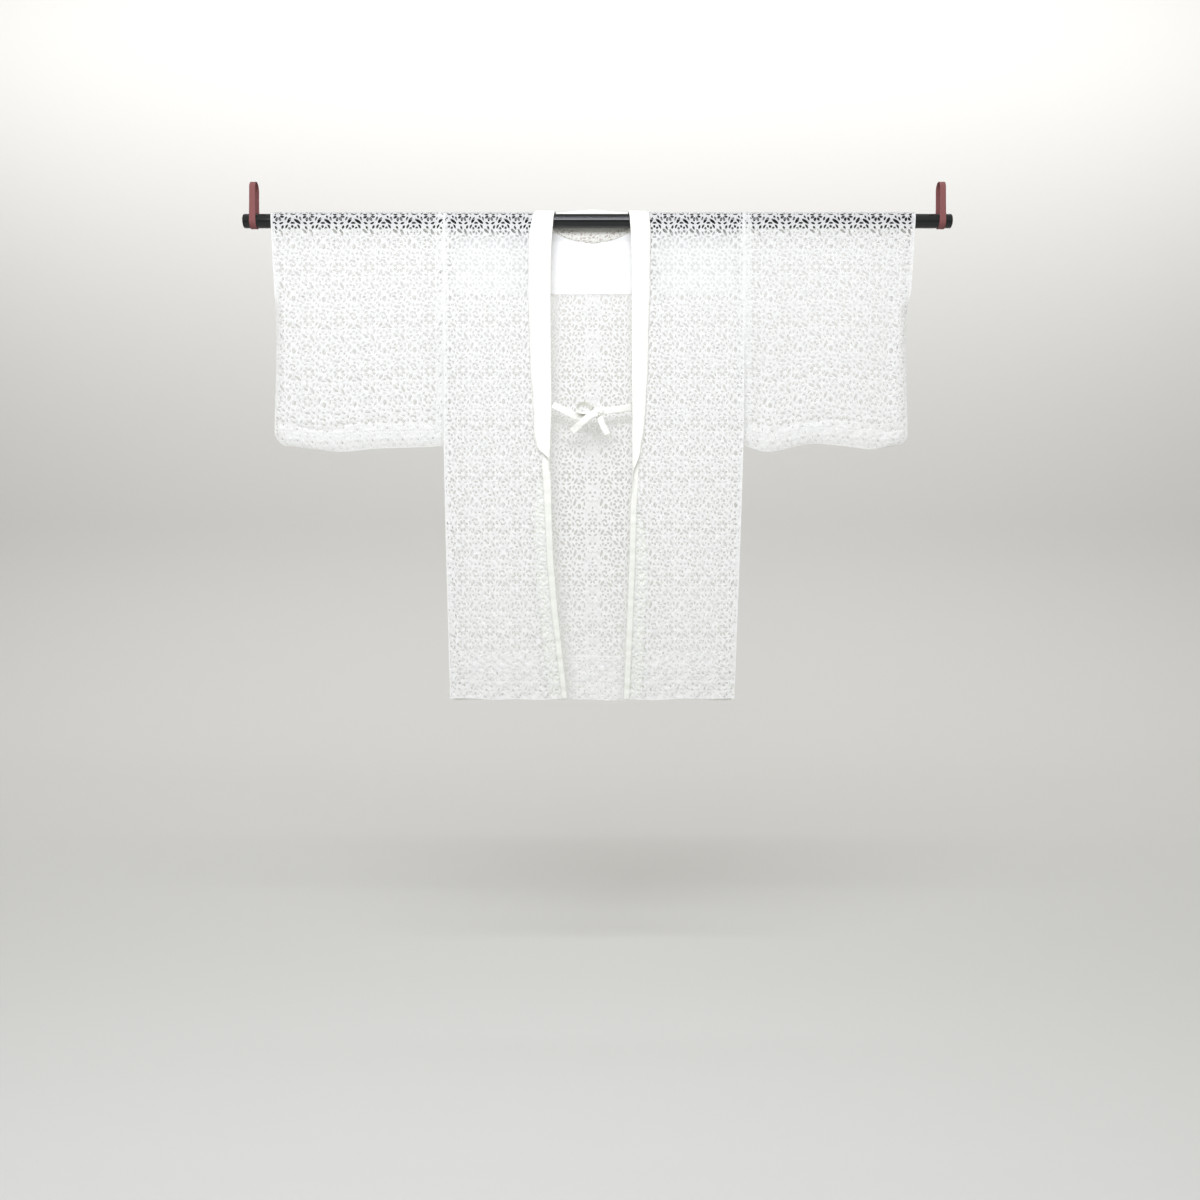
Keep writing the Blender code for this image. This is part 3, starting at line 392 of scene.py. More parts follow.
def relief(x, down):
    """The lace's own unevenness: it never lies quite flat, least so where nothing holds it."""
    waves = np.sin(x / 3.4 + 1.3 * np.sin(down / 11.0)) * np.sin(down / 4.1 + 1.1 * np.sin(x / 13.0))
    waves = waves + 0.5 * np.sin((x + 1.7 * down) / 9.7) + 0.4 * np.sin((1.3 * x - down) / 6.1 + x / 50.0)
    return RELIEF * waves * (1 + 0.9 * smooth(200.0, 900.0, down))


def hem_sway(x, facing):
    """How much lower the hem hangs here and there, in mm."""
    return 1.3 * np.sin(x / 41.0 + facing) + 0.9 * np.sin(x / 17.5 - 0.7 * facing) - 1.3 * facing


def parts(panel):
    """A panel's side, with the signs of that side and of the way the panel faces."""
    side = "left" if "left" in panel else "right"
    return side, SIGN[side], -1 if "front" in panel else 1


def body_point(panel, x, down, out=0.0):
    side, sign, facing = parts(panel)
    inner = collar_seam(side, down) if facing < 0 else np.zeros_like(down)
    edge = body_edge(side, down)
    half = body_half(down) + ripple(panel, x, down, (sign * edge, sign * inner))
    hanging = smooth(QUARTER, QUARTER + 40, down)
    fine = crease_height(panel, x, down) * smooth(0.0, 12.0, edge - np.abs(x))
    fine = fine + pucker(x, down, np.minimum(edge - np.abs(x), np.abs(x) - inner)) + relief(x, down)
    sway = hem_sway(x, facing) * smooth(650.0, QUARTER + FRONT_DROP, down)
    return hung(facing, x, down, half + fine * hanging, out, 1 + sway / FRONT_DROP)


def sleeve_point(panel, x, down, out=0.0):
    side, sign, facing = parts(panel)
    inner, outer = body_edge(side, down), cuff_edge(side, down)
    half = sleeve_half(side, x, down) + ripple(panel, x, down, (sign * inner, sign * outer))
    along = np.clip((np.abs(x) - inner) / (outer - inner), 0.0, 1.0)
    stretch = 1 + read(SLEEVE_SAG, side, along) / SLEEVE_DROP
    hanging = smooth(QUARTER, QUARTER + 40, down) * smooth(0.0, 20.0, QUARTER + SLEEVE_DROP - down)
    fine = crease_height(panel, x, down) * smooth(0.0, 12.0, outer - np.abs(x))
    fine = fine + pucker(x, down, np.abs(x) - inner) + relief(x, down)
    return hung(facing, x, down, half + fine * hanging, out, stretch)


print("creases by hand", sum(len(rows) for rows in CREASES.values()))

# %% [markdown]
# ## Materials
# Each material starts from what the real one is. One function turns a hex colour to the linear values
# that the shader wants, and one adds a node. Patterns run in the cloth's own flat millimetres, which every
# cloth piece carries as the attribute "cut", so a weave follows the cloth.

# %% Helpers for materials
RGBA = {"data_type": "RGBA"}
MULTIPLY = {"operation": "MULTIPLY"}
DIAGONAL = {"wave_type": "BANDS", "bands_direction": "DIAGONAL"}


def linear(hex_colour):
    """An sRGB hex colour as linear red, green, blue and alpha."""
    levels = [int(hex_colour[n : n + 2], 16) / 255 for n in (1, 3, 5)]
    return (*[c / 12.92 if c <= 0.04045 else ((c + 0.055) / 1.055) ** 2.4 for c in levels], 1.0)


def feed(tree, node, *values, **named):
    """Feeds inputs by place or by name, as Base_Color: each a value, or the output that feeds it."""
    keys = [*range(len(values)), *(name.replace("_", " ") for name in named)]
    for key, value in zip(keys, [*values, *named.values()]):
        if isinstance(value, bpy.types.NodeSocket):
            tree.links.new(value, node.inputs[key])
        else:
            node.inputs[key].default_value = value


def add_node(tree, kind, output, settings, *values, **named):
    """Adds a node with its settings, feeds its inputs and returns the output that is wanted."""
    made = tree.nodes.new("ShaderNode" + kind)
    for name, value in settings.items():
        setattr(made, name, value)
    feed(tree, made, *values, **named)
    return made.outputs[output]


def new_material(name):
    """An empty material with its tree and its shader."""
    material = bpy.data.materials.new(name)
    material.use_nodes = True
    return material, material.node_tree, material.node_tree.nodes["Principled BSDF"]


def cut_place(tree):
    """The cloth's own flat millimetres, as a vector."""
    return add_node(tree, "Attribute", "Vector", {"attribute_name": "cut"})


# %% [markdown]
# ### Raschel lace of white cotton
# The lace is warp-knitted: chains of stitches build the flowers, leaves and bars. The eye sees soft white
# thread with a faint ribbing and hardly any gloss, and some light passes through it. A real chain is
# 0.7 mm wide; the ribs are drawn 1.4 mm apart so that they show.

# %% Lace thread
def lace_material():
    material, tree, shader = new_material("raschel_lace_white_cotton")
    cut = cut_place(tree)
    tone = add_node(tree, "TexNoise", "Fac", {}, Vector=cut, Scale=1 / 38.0, Detail=3.0)
    fleck = add_node(tree, "TexNoise", "Fac", {}, Vector=cut, Scale=1 / 2.2, Detail=2.0)
    whites = add_node(tree, "Mix", "Result", RGBA, Factor=tone, A=linear("#F8F9F8"), B=linear("#FDFDFC"))
    dark = add_node(tree, "MapRange", "Result", {}, Value=fleck, From_Min=0.52, From_Max=0.85, To_Max=0.7)
    shade = add_node(tree, "Mix", "Result", RGBA, Factor=dark, A=whites, B=linear("#ECEDEC"))
    ribs = add_node(
        tree, "TexWave", "Fac", DIAGONAL, Vector=cut, Scale=1 / 1.4 / 2.0, Distortion=3.0, Detail=1.0
    )
    height = add_node(tree, "Math", "Value", {"operation": "ADD"}, ribs, fleck)
    bump = add_node(tree, "Bump", "Normal", {}, Height=height, Strength=0.35, Distance=0.35 * MM)
    feed(tree, shader, Base_Color=shade, Normal=bump, Roughness=0.72, IOR=1.5)
    feed(tree, shader, Sheen_Weight=0.18, Sheen_Roughness=0.45)
    through = add_node(tree, "BsdfTranslucent", "BSDF", {}, Color=linear("#F8F8F4"))
    mixed = add_node(tree, "MixShader", "Shader", {}, 0.42, shader.outputs["BSDF"], through)
    feed(tree, tree.nodes["Material Output"], Surface=mixed)
    return material


LACE = lace_material()
print("made", LACE.name)

# %% [markdown]
# ### The collar's doubled cloth
# The collar is a long band with a stiffener inside, so it is opaque and smoother than the lace, a calm
# matt strip with a cream cast. Real threads are 0.25 mm apart; they are drawn at 0.9 mm. Shallow dimples
# show the lace's relief through the outer layer, with painted shade over them. Lower down the band gets
# painted shade and is a little darker, and behind the rod its middle shows lace holes filled with painted
# shade.

# %% Collar cloth
COLLAR_MIDDLE = 1127.0
MIDDLE_HALF = 62.0
MIDDLE_MESH = 6.5
LOW_SHADE_FROM = 470.0


def collar_shade_masks(tree, cut, across, along):
    """Masks of painted shade: lace holes in the unstiffened middle behind the rod, and the band lower down.
    """
    swirl = add_node(tree, "TexNoise", "Color", {}, Vector=cut, Scale=1 / 9.0, Detail=1.0)
    multiply_add = {"operation": "MULTIPLY_ADD"}
    bent = add_node(tree, "VectorMath", "Vector", multiply_add, swirl, (9.0, 9.0, 0.0), cut)
    to_edge = {"feature": "DISTANCE_TO_EDGE"}
    meshes = add_node(tree, "TexVoronoi", "Distance", to_edge, Vector=bent, Scale=1 / MIDDLE_MESH)
    # The holes follow the lace's own pattern; the brown they are filled with is painted shade.
    holes = add_node(
        tree, "MapRange", "Result", {}, Value=meshes, From_Min=0.08, From_Max=0.24, To_Max=0.8
    )
    away = add_node(tree, "Math", "Value", {"operation": "SUBTRACT"}, along, COLLAR_MIDDLE)
    away = add_node(tree, "Math", "Value", {"operation": "ABSOLUTE"}, away)
    ends = {"From_Min": MIDDLE_HALF, "From_Max": MIDDLE_HALF + 25.0, "To_Min": 1.0, "To_Max": 0.0}
    near = add_node(tree, "MapRange", "Result", {}, Value=away, **ends)
    # Painted shade: the band turns greyer from here towards the hems, where less light falls.
    ends = {"From_Min": LOW_SHADE_FROM, "From_Max": LOW_SHADE_FROM + 330.0, "To_Max": 0.65}
    low = add_node(tree, "MapRange", "Result", {}, Value=away, **ends)
    ends = {"From_Min": 17.0, "From_Max": 24.0, "To_Min": 1.0, "To_Max": 0.0}
    inside = add_node(tree, "MapRange", "Result", {}, Value=across, **ends)
    patch = add_node(tree, "Math", "Value", MULTIPLY, near, inside)
    return add_node(tree, "Math", "Value", MULTIPLY, holes, patch), low


def woven_material(name, light, dark, spacing, roughness, sheen, dimple, depth, shade, with_collar_shade=False):
    """Cloth with threads a spacing apart and dimples of the lace under it, with painted shade over them."""
    material, tree, shader = new_material(name)
    cut = cut_place(tree)
    parts = tree.nodes.new("ShaderNodeSeparateXYZ")
    feed(tree, parts, cut)
    weave = []
    for axis in ("X", "Y"):
        turn = add_node(tree, "Math", "Value", MULTIPLY, parts.outputs[axis], math.pi / spacing)
        weave.append(add_node(tree, "Math", "Value", {"operation": "SINE"}, turn))
    cross = add_node(tree, "Math", "Value", MULTIPLY, *weave)
    soft = {"feature": "SMOOTH_F1"}
    dimples = add_node(tree, "TexVoronoi", "Distance", soft, Vector=cut, Scale=1 / dimple, Smoothness=0.35)
    tone = add_node(tree, "TexNoise", "Fac", {}, Vector=cut, Scale=1 / 45.0, Detail=4.0)
    colour = add_node(tree, "Mix", "Result", RGBA, Factor=tone, A=linear(dark), B=linear(light))
    raised = add_node(tree, "Math", "Value", {"operation": "MULTIPLY_ADD"}, cross, 0.25, dimples)
    bump = add_node(tree, "Bump", "Normal", {}, Height=raised, Strength=0.3, Distance=depth * MM)
    # Painted shade: the dimples' pattern darkens the colour towards grey-beige #C9C8BE, as much as shade
    # says.
    painted_dimple_shade = add_node(
        tree, "MapRange", "Result", {}, Value=dimples, From_Min=0.3, From_Max=0.62, To_Max=shade
    )
    shaded = add_node(tree, "Mix", "Result", RGBA, Factor=painted_dimple_shade, A=colour, B=linear("#C9C8BE"))
    # Painted shade: greyer towards the hems, and brown in the lace holes behind the rod.
    if with_collar_shade:
        painted_hole_shade, low = collar_shade_masks(tree, cut, parts.outputs["X"], parts.outputs["Y"])
        shaded = add_node(tree, "Mix", "Result", RGBA, Factor=low, A=shaded, B=linear("#D6D8CF"))
        shaded = add_node(tree, "Mix", "Result", RGBA, Factor=painted_hole_shade, A=shaded, B=linear("#B9ABA1"))
    feed(tree, shader, Base_Color=shaded, Normal=bump, Roughness=roughness, IOR=1.5)
    feed(tree, shader, Sheen_Weight=sheen, Sheen_Roughness=0.4)
    return material


# Its last two values: the strength of the painted shade on the dimples, and the collar's own painted shade.
COLLAR_CLOTH = woven_material(
    "doubled_lace_collar_cream", "#F7F7F1", "#F0F0E9", 0.9, 0.74, 0.12, 6.5, 0.7, 0.14, True
)
# Its last value is the strength of the painted shade on the dimples.
TIE_CLOTH = woven_material("folded_lace_tie_cream", "#F6F6F0", "#EEEEE7", 1.1, 0.76, 0.12, 4.0, 0.9, 0.25)
print("made", COLLAR_CLOTH.name, "and", TIE_CLOTH.name)

# %% [markdown]
# ### The yoke's plain silk-like lining
# The yoke is a thin plain weave with a light gloss, pure white; its light grey colour here is painted
# shade for the lace that lies over it. It lies smooth, so its threads, drawn 0.6 mm apart, only break up
# the highlight.

# %% Lining
# Painted shade: the lining's light grey stands for the shade of the lace over it.
LINING = woven_material("plain_weave_lining_white", "#ECECEA", "#E8E8E6", 0.6, 0.5, 0.2, 30.0, 0.2, 0.0)
print("made", LINING.name)

# %% [markdown]
# ### Black lacquer and woven tape
# The rod is turned wood under many coats of black lacquer: nearly black, very smooth, with a sharp
# highlight and the faintest waviness. The loops are a reddish-brown herringbone tape, matt, with ribs
# 1.2 mm apart and worn, lighter patches along them.

# %% Lacquer and tape
def lacquer_material():
    material, tree, shader = new_material("black_urethane_lacquer_on_wood")
    place = add_node(tree, "TexCoord", "Object", {})
    long_grain = add_node(tree, "Mapping", "Vector", {}, Vector=place, Scale=(0.25, 1.0, 1.0))
    wave = add_node(tree, "TexNoise", "Fac", {}, Vector=long_grain, Scale=60.0, Detail=2.0)
    dust = add_node(tree, "TexNoise", "Fac", {}, Vector=place, Scale=900.0, Detail=2.0)
    ends = {"From_Min": 0.35, "From_Max": 0.75, "To_Min": 0.07, "To_Max": 0.16}
    rough = add_node(tree, "MapRange", "Result", {}, Value=dust, **ends)
    colour = add_node(tree, "Mix", "Result", RGBA, Factor=wave, A=linear("#07090A"), B=linear("#121617"))
    bump = add_node(tree, "Bump", "Normal", {}, Height=wave, Strength=0.12, Distance=0.4 * MM)
    feed(tree, shader, Base_Color=colour, Roughness=rough, Normal=bump, IOR=1.52)
    return material


def tape_material():
    material, tree, shader = new_material("herringbone_cotton_tape_brown")
    cut = cut_place(tree)
    ribs = add_node(
        tree, "TexWave", "Fac", DIAGONAL, Vector=cut, Scale=1 / 1.2 / 2.0, Distortion=0.6, Detail=1.0
    )
    fuzz = add_node(tree, "TexNoise", "Fac", {}, Vector=cut, Scale=1 / 1.6, Detail=3.0)
    worn = add_node(tree, "Math", "Value", MULTIPLY, ribs, fuzz)
    colour = add_node(tree, "Mix", "Result", RGBA, Factor=worn, A=linear("#74403F"), B=linear("#9C6361"))
    bump = add_node(tree, "Bump", "Normal", {}, Height=ribs, Strength=0.5, Distance=0.4 * MM)
    feed(tree, shader, Base_Color=colour, Normal=bump, Roughness=0.82, Sheen_Weight=0.1)
    return material


LACQUER = lacquer_material()
TAPE = tape_material()
print("made", LACQUER.name, "and", TAPE.name)

# %% [markdown]
# ## One repeat of the lace
# The pattern repeats every 62 mm across and 106 mm down: flowers with open petals, veined leaves, rolled
# tendrils, and a ground of curved slots between them. It could be a picture in a material, but real
# openings throw real shadows and show the rod behind them. So each is a slot in the sheet, along a curved
# middle line. Those of the motifs are set out first, and the ground is then filled with slots that flow
# round the flowers, as far apart as a thread is wide.

# %% Sizes of the pattern
REPEAT_WIDE = 62.0
BODY_REPEAT_WIDE = 55.0
REPEAT_LONG = 106.0
REPEAT_SIZE = np.array([REPEAT_WIDE, REPEAT_LONG])
GAP_WIDTH = 8.0
GAP_LENGTH = 13.0
FIRST_GAP = 56.0
FLOWER_DOWN = 20.0
GAP_BELOW_FLOWER = QUARTER + FIRST_GAP - FLOWER_DOWN
THREAD_WIDTH = 1.6
MOTIF_THREAD = 1.5
CROWN_FROM = 2.5
CROWN_SHARE = 0.28
CROWN_TOP = 0.6

Flower = namedtuple("Flower", "x down radius petals")
FLOWERS = table(Flower, (0, 0, 15.5, 8), (30, 30, 12.5, 6), (-3, 58, 14, 7))
# A leaf from its root to its tip, half its width, its pairs of veins and how far its midrib bends
Leaf = namedtuple("Leaf", "x down tip_x tip_down half pairs bend")
LEAVES = table(
    Leaf,
    *((15.5, 10, 27, 33, 5.6, 3, 1.6), (-15, 10, -28, 31, 5.6, 3, -2), (-6, 18, -10, 42, 5.4, 3, 1.5)),
    *((14, 62, 27, 83, 5.6, 3, -2), (-16, 70, -26, 90, 5.6, 3, 1.8), (2, 74, 7, 94, 5.4, 3, -1.6)),
)
Tendril = namedtuple("Tendril", "x down radius hand")
TENDRILS = table(Tendril, (29, 97, 8, 1), (14, 42, 7.4, -1))
print("motifs in a repeat:", len(FLOWERS), "flowers,", len(LEAVES), "leaves,", len(TENDRILS), "tendrils")


# %% Slots
def unit(vectors):
    """Each vector at length 1."""
    return vectors / np.linalg.norm(vectors, axis=-1, keepdims=True)


def slot(path, width, blunt):
    """A slot that narrows to its ends: the points of its middle line and its half width there."""
    path = np.asarray(path, float)
    share = np.clip(np.linspace(0.0, 1.0, len(path)), 0.02, 0.98)
    return path, width / 2 * np.sin(math.pi * share) ** blunt


def slot_outline(middle, half, points):
    """The corners of a slot."""
    known = np.linspace(0.0, 1.0, len(middle))
    share = np.linspace(0.0, 1.0, points)
    path = np.stack([np.interp(share, known, middle[:, n]) for n in (0, 1)], 1)
    heading = unit(np.gradient(path, axis=0))
    aside = np.stack([-heading[:, 1], heading[:, 0]], 1) * np.interp(share, known, half)[:, None]
    left, right = path + aside, path - aside
    left[0] = path[0] - heading[0] * 0.3
    left[-1] = path[-1] + heading[-1] * 0.3
    return np.concatenate([left, right[-2:0:-1]])[::-1]


def nearest_copy(step):
    """A step across the pattern, to the nearest copy of where it goes."""
    return (step + REPEAT_SIZE / 2) % REPEAT_SIZE - REPEAT_SIZE / 2


def has_room(middle, half, slots, room):
    """Whether a new slot leaves that much thread between it and every other one."""
    others = np.concatenate([known[0] for known in slots])
    wide = np.concatenate([known[1] for known in slots])
    step = nearest_copy(middle[:, None] - others[None])
    return (np.sqrt((step**2).sum(2)) - half[:, None] - wide[None]).min() >= room


# %% The motifs' slots
def petal_slots(flower):
    """An open slot in each petal of a flower."""
    found = []
    share = np.linspace(0.0, 1.0, 7)[:, None]
    wide = min(2 * math.pi * flower.radius * 0.6 / flower.petals - 2.1, 4.8) * 1.2
    for n in range(flower.petals):
        turn = 2 * math.pi * (n + 0.3) / flower.petals
        ray = np.array([math.cos(turn), math.sin(turn)])
        side = np.array([-ray[1], ray[0]])
        reach = 4.3 + (flower.radius - 6.8) * share
        path = np.array([flower.x, flower.down]) + ray * reach + side * 0.8 * np.sin(math.pi * share)
        found.append(slot(path, wide, 0.6))
    return found


def ring_slots(flower):
    """Scallops round a flower."""
    found = []
    for n in range(flower.petals):
        turn = 2 * math.pi * (n + np.linspace(0.17, 0.83, 9)) / flower.petals
        ray = np.stack([np.cos(turn), np.sin(turn)], 1)
        found.append(slot(np.array([flower.x, flower.down]) + ray * (flower.radius + 2.0), 4.3, 0.5))
    return found


def leaf_slots(leaf):
    """Slanting slots on both sides of a leaf's midrib."""
    found = []
    start, end = np.array([leaf.x, leaf.down]), np.array([leaf.tip_x, leaf.tip_down])
    length = np.linalg.norm(end - start)
    along = (end - start) / length
    aside = np.array([-along[1], along[0]])
    share = np.linspace(0.0, 1.0, 6)[:, None]
    for n in range(leaf.pairs):
        at = (n + 0.55) / leaf.pairs
        base = start + along * length * at * 0.9 + aside * leaf.bend * math.sin(math.pi * at)
        reach = leaf.half * 1.5 * (1.12 - 0.55 * at)
        for sign in (-1, 1):
            tip = along * 0.75 + aside * sign * 0.68
            path = base + aside * sign * 1.2 + tip * reach * share + along * share**2
            found.append(slot(path, 4.7, 0.5))
    return found


def tendril_slots(tendril):
    """Two arms that roll in towards a tendril's middle."""
    found = []
    share = np.linspace(0.0, 1.0, 9)
    for start in (0.0, math.pi):
        turn = start + tendril.hand * math.pi * 1.05 * share
        rolled = tendril.radius * (1 - 0.62 * share)
        path = np.stack([tendril.x + rolled * np.cos(turn), tendril.down + rolled * np.sin(turn)], 1)
        found.append(slot(path, 4.3, 0.45))
    return found


def motif_slots():
    """All the motifs' slots that leave room for each other, after the gap that the solids have too."""
    lengthways = np.linspace(-GAP_LENGTH / 2, GAP_LENGTH / 2, 9)
    gap = np.stack([np.full(9, REPEAT_WIDE / 2), GAP_BELOW_FLOWER + lengthways], 1)
    slots = [slot(gap, GAP_WIDTH, 0.8)]
    for flower in FLOWERS:
        slots += petal_slots(flower)
        slots += [new for new in ring_slots(flower) if has_room(*new, slots, MOTIF_THREAD)]
    for make, motifs in ((leaf_slots, LEAVES), (tendril_slots, TENDRILS)):
        for new in (new for motif in motifs for new in make(motif)):
            if has_room(*new, slots, MOTIF_THREAD):
                slots.append(new)
    return slots


# %% The ground between the motifs
def flow(place):
    """The way the ground runs: round the flowers, and slanting between them."""
    x, down = place
    drift = 1.15 + 0.75 * math.sin(2 * math.pi * x / REPEAT_WIDE + 0.6)
    drift += 0.6 * math.cos(4 * math.pi * down / REPEAT_LONG)
    total = np.array([math.cos(drift), math.sin(drift)]) * 0.55
    for flower in FLOWERS:
        step = nearest_copy(np.array([x - flower.x, down - flower.down]))
        away = np.linalg.norm(step) + 1e-6
        around = np.array([-step[1], step[0]]) / away
        if around @ total < 0:
            around = -around
        total = total + around * 1.6 * math.exp(-(((away - flower.radius) / 9.0) ** 2))
    return unit(total)


def flowing_path(place, length):
    """A short line through place that follows the flow both ways."""
    path = [place]
    for sign in (-1, 1):
        here, way = place, flow(place) * sign
        for _ in range(4):
            here = here + way * length / 8
            onward = flow(here)
            way = onward if onward @ way > 0 else -onward
            path = [here] + path if sign < 0 else path + [here]
    return path


GROUND_SIZES = (
    *((17.0, 6.0, 700), (14.0, 6.0, 900), (11.0, 5.5, 1200)),
    *((8.5, 5.0, 1500), (6.5, 4.3, 1500), (4.6, 3.6, 1500)),
)


def fill_ground(slots):
    """Fills the ground with slots, the longest first, wherever a seeded guess leaves room."""
    rng = np.random.default_rng(11)
    for length, width, guesses in GROUND_SIZES:
        for place in rng.uniform(-REPEAT_SIZE / 2, REPEAT_SIZE / 2, (guesses, 2)):
            if has_room(place[None], np.array([width * 0.35]), slots, THREAD_WIDTH):
                new = slot(flowing_path(place, length), width, 0.45)
                if has_room(*new, slots, THREAD_WIDTH):
                    slots.append(new)
    return slots


# %% From slots to lace
def cover(sheet, openings):
    """Points and triangles of a flat sheet, less its openings."""
    points, faces = [], []
    for shape in [sheet, *openings]:
        faces.append(list(range(len(points), len(points) + len(shape))))
        points.extend(Vector(corner) for corner in shape)
    found, _, triangles, _, _, sources = delaunay_2d_cdt(points, [], faces, 1, 1e-4)
    kept = [corners for corners, source in zip(triangles, sources) if set(source) == {0}]
    used, where = np.unique(np.array(kept), return_inverse=True)
    return np.array([found[n] for n in used]), where.reshape(-1, 3)


def gap_outline():
    """The leaf-shaped gap of each repeat, which the solids have too."""
    corners = np.array([(0, -1), (1, -0.45), (1, 0.45), (0, 1), (-1, 0.45), (-1, -0.45)])
    return corners * (GAP_WIDTH / 2, GAP_LENGTH / 2) + (REPEAT_WIDE / 2, GAP_BELOW_FLOWER)


def match_edges(points):
    """Gives points on opposite edges of the repeat the very same places along them, so copies weld."""
    half = REPEAT_SIZE / 2
    for axis in (0, 1):
        low = np.flatnonzero(np.abs(points[:, axis] + half[axis]) < 1e-3)
        high = np.flatnonzero(np.abs(points[:, axis] - half[axis]) < 1e-3)
        low = low[np.argsort(points[low, 1 - axis])]
        high = high[np.argsort(points[high, 1 - axis])]
        points[low, axis], points[high, axis] = -half[axis], half[axis]
        points[high, 1 - axis] = points[low, 1 - axis]
    return points


def face_areas(points, triangles):
    """The flat area of each triangle."""
    corners = points[triangles]
    spans = corners[:, 1:] - corners[:, :1]
    return np.abs(spans[:, 0, 0] * spans[:, 1, 1] - spans[:, 0, 1] * spans[:, 1, 0]) / 2


def crown(points, triangles):
    """Raises the middle of each wider face, because the thread stands proud between its openings."""
    sizes = face_areas(points, triangles)
    wide = sizes > CROWN_FROM
    middle = points[triangles[wide]].mean(1)
    rise = np.minimum(CROWN_SHARE * np.sqrt(sizes[wide]), CROWN_TOP)
    fresh = len(points) + np.arange(len(middle))
    a, b, c = triangles[wide].T
    fans = [np.stack(trio, 1) for trio in ((a, b, fresh), (b, c, fresh), (c, a, fresh))]
    height = np.concatenate([np.zeros(len(points)), rise])
    raised = np.concatenate([np.concatenate([points, middle]), height[:, None]], 1)
    return raised, np.concatenate([triangles[~wide], *fans])


def lay_repeat():
    """One repeat of the lace as points (x, down, rise) and triangles, with a flower at its middle."""
    high = REPEAT_SIZE / 2
    low = -high
    outlines = [gap_outline()]
    for middle, half in fill_ground(motif_slots())[1:]:
        length = np.linalg.norm(np.diff(middle, axis=0), axis=1).sum()
        outlines.append(slot_outline(middle, half, 4 + int(length / 2.6)))
    openings = []
    for outline in outlines:
        for i in (-2, -1, 0, 1, 2):
            for j in (-2, -1, 0, 1, 2):
                moved = outline + REPEAT_SIZE * (i, j)
                if (moved.max(0) > low).all() and (moved.min(0) < high).all():
                    openings.append(moved)
    points, triangles = cover([low, (high[0], low[1]), high, (low[0], high[1])], openings)
    points = match_edges(points)
    covered = face_areas(points, triangles).sum() / REPEAT_WIDE / REPEAT_LONG
    print(len(outlines), "openings in a repeat; thread covers", round(covered, 3), "of it")
    return crown(points, triangles)


TILE_POINTS, TILE_TRIANGLES = lay_repeat()
print(len(TILE_TRIANGLES), "triangles a repeat")

# %% [markdown]
# ## Cutting lace to a pattern piece
# A tailor lays the lace out flat, cuts it along the pattern and sews it. Here copies of the repeat are
# welded to a flat sheet, the triangles that cross a cut line are split along it, what lies outside is
# dropped, and the rest is hung. Turned hems and seam allowances are cut beyond the edge and folded back
# behind it, which is why they show denser and whiter, as the real ones do.

# %% Flat sheets
def copies(low, high, origin, repeat):
    """Where the copies of a repeat begin that cover low to high."""
    first = math.floor((low - origin) / repeat - 0.5)
    last = math.ceil((high - origin) / repeat + 0.5)
    return [origin + n * repeat for n in range(first, last + 1)]


def flat_lace(xs, top, foot, origin, repeat):
    """Copies of the repeat that cover a box of the flat cut, welded. origin is a flower's x."""
    tile = TILE_POINTS * (repeat / REPEAT_WIDE, 1.0, 1.0)
    downs = copies(top, foot, FLOWER_DOWN, REPEAT_LONG)
    shifts = [(x, down, 0.0) for x in copies(*sorted(xs), origin, repeat) for down in downs]
    points = (tile[None] + np.array(shifts)[:, None]).reshape(-1, 3)
    triangles = (TILE_TRIANGLES[None] + (np.arange(len(shifts)) * len(tile))[:, None, None]).reshape(-1, 3)
    _, first, where = np.unique(np.round(points * 1e4), axis=0, return_index=True, return_inverse=True)
    return points[first], where.reshape(-1)[triangles]


def split(points, triangles, height):
    """Splits the triangles along the line where height(x, down) is 0. Returns the heights as well."""
    level = height(points[:, 0], points[:, 1])
    level = np.where(np.abs(level) < 0.03, 0.03, level)
    above = level[triangles] > 0
    count = above.sum(1)
    mixed = (count == 1) | (count == 2)
    if not mixed.any():
        return points, triangles, level
    cut = triangles[mixed]
    lone = np.where(count[mixed] == 1, above[mixed].argmax(1), (~above[mixed]).argmax(1))
    row = np.arange(len(cut))
    a, b, c = cut[row, lone], cut[row, (lone + 1) % 3], cut[row, (lone + 2) % 3]
    sides = np.sort(np.concatenate([np.stack([a, b], 1), np.stack([a, c], 1)]), axis=1)
    sides, where = np.unique(sides, axis=0, return_inverse=True)
    where = where.reshape(-1)
    start, end = sides.T
    share = level[start] / (level[start] - level[end])
    fresh = points[start] + share[:, None] * (points[end] - points[start])
    ab, ac = len(points) + where[: len(cut)], len(points) + where[len(cut) :]
    pieces = [np.stack(trio, 1) for trio in ((a, ab, ac), (ab, b, c), (ab, c, ac))]
    return (
        np.concatenate([points, fresh]),
        np.concatenate([triangles[~mixed], *pieces]),
        np.concatenate([level, np.zeros(len(fresh))]),
    )


def trim(points, triangles, heights):
    """Cuts away what lies below 0 in any of the heights."""
    for height in heights:
        points, triangles, level = split(points, triangles, height)
        triangles = triangles[level[triangles].sum(1) > 0]
    used, where = np.unique(triangles, return_inverse=True)
    return points[used], where.reshape(-1, 3)


def bend_lines(points, triangles):
    """Splits a sheet every few millimetres where it passes over the rod, so that it bends smoothly."""
    for line in np.arange(1, 9) * QUARTER / 8:
        points, triangles, _ = split(points, triangles, lambda x, down: down - line)
    return points, triangles


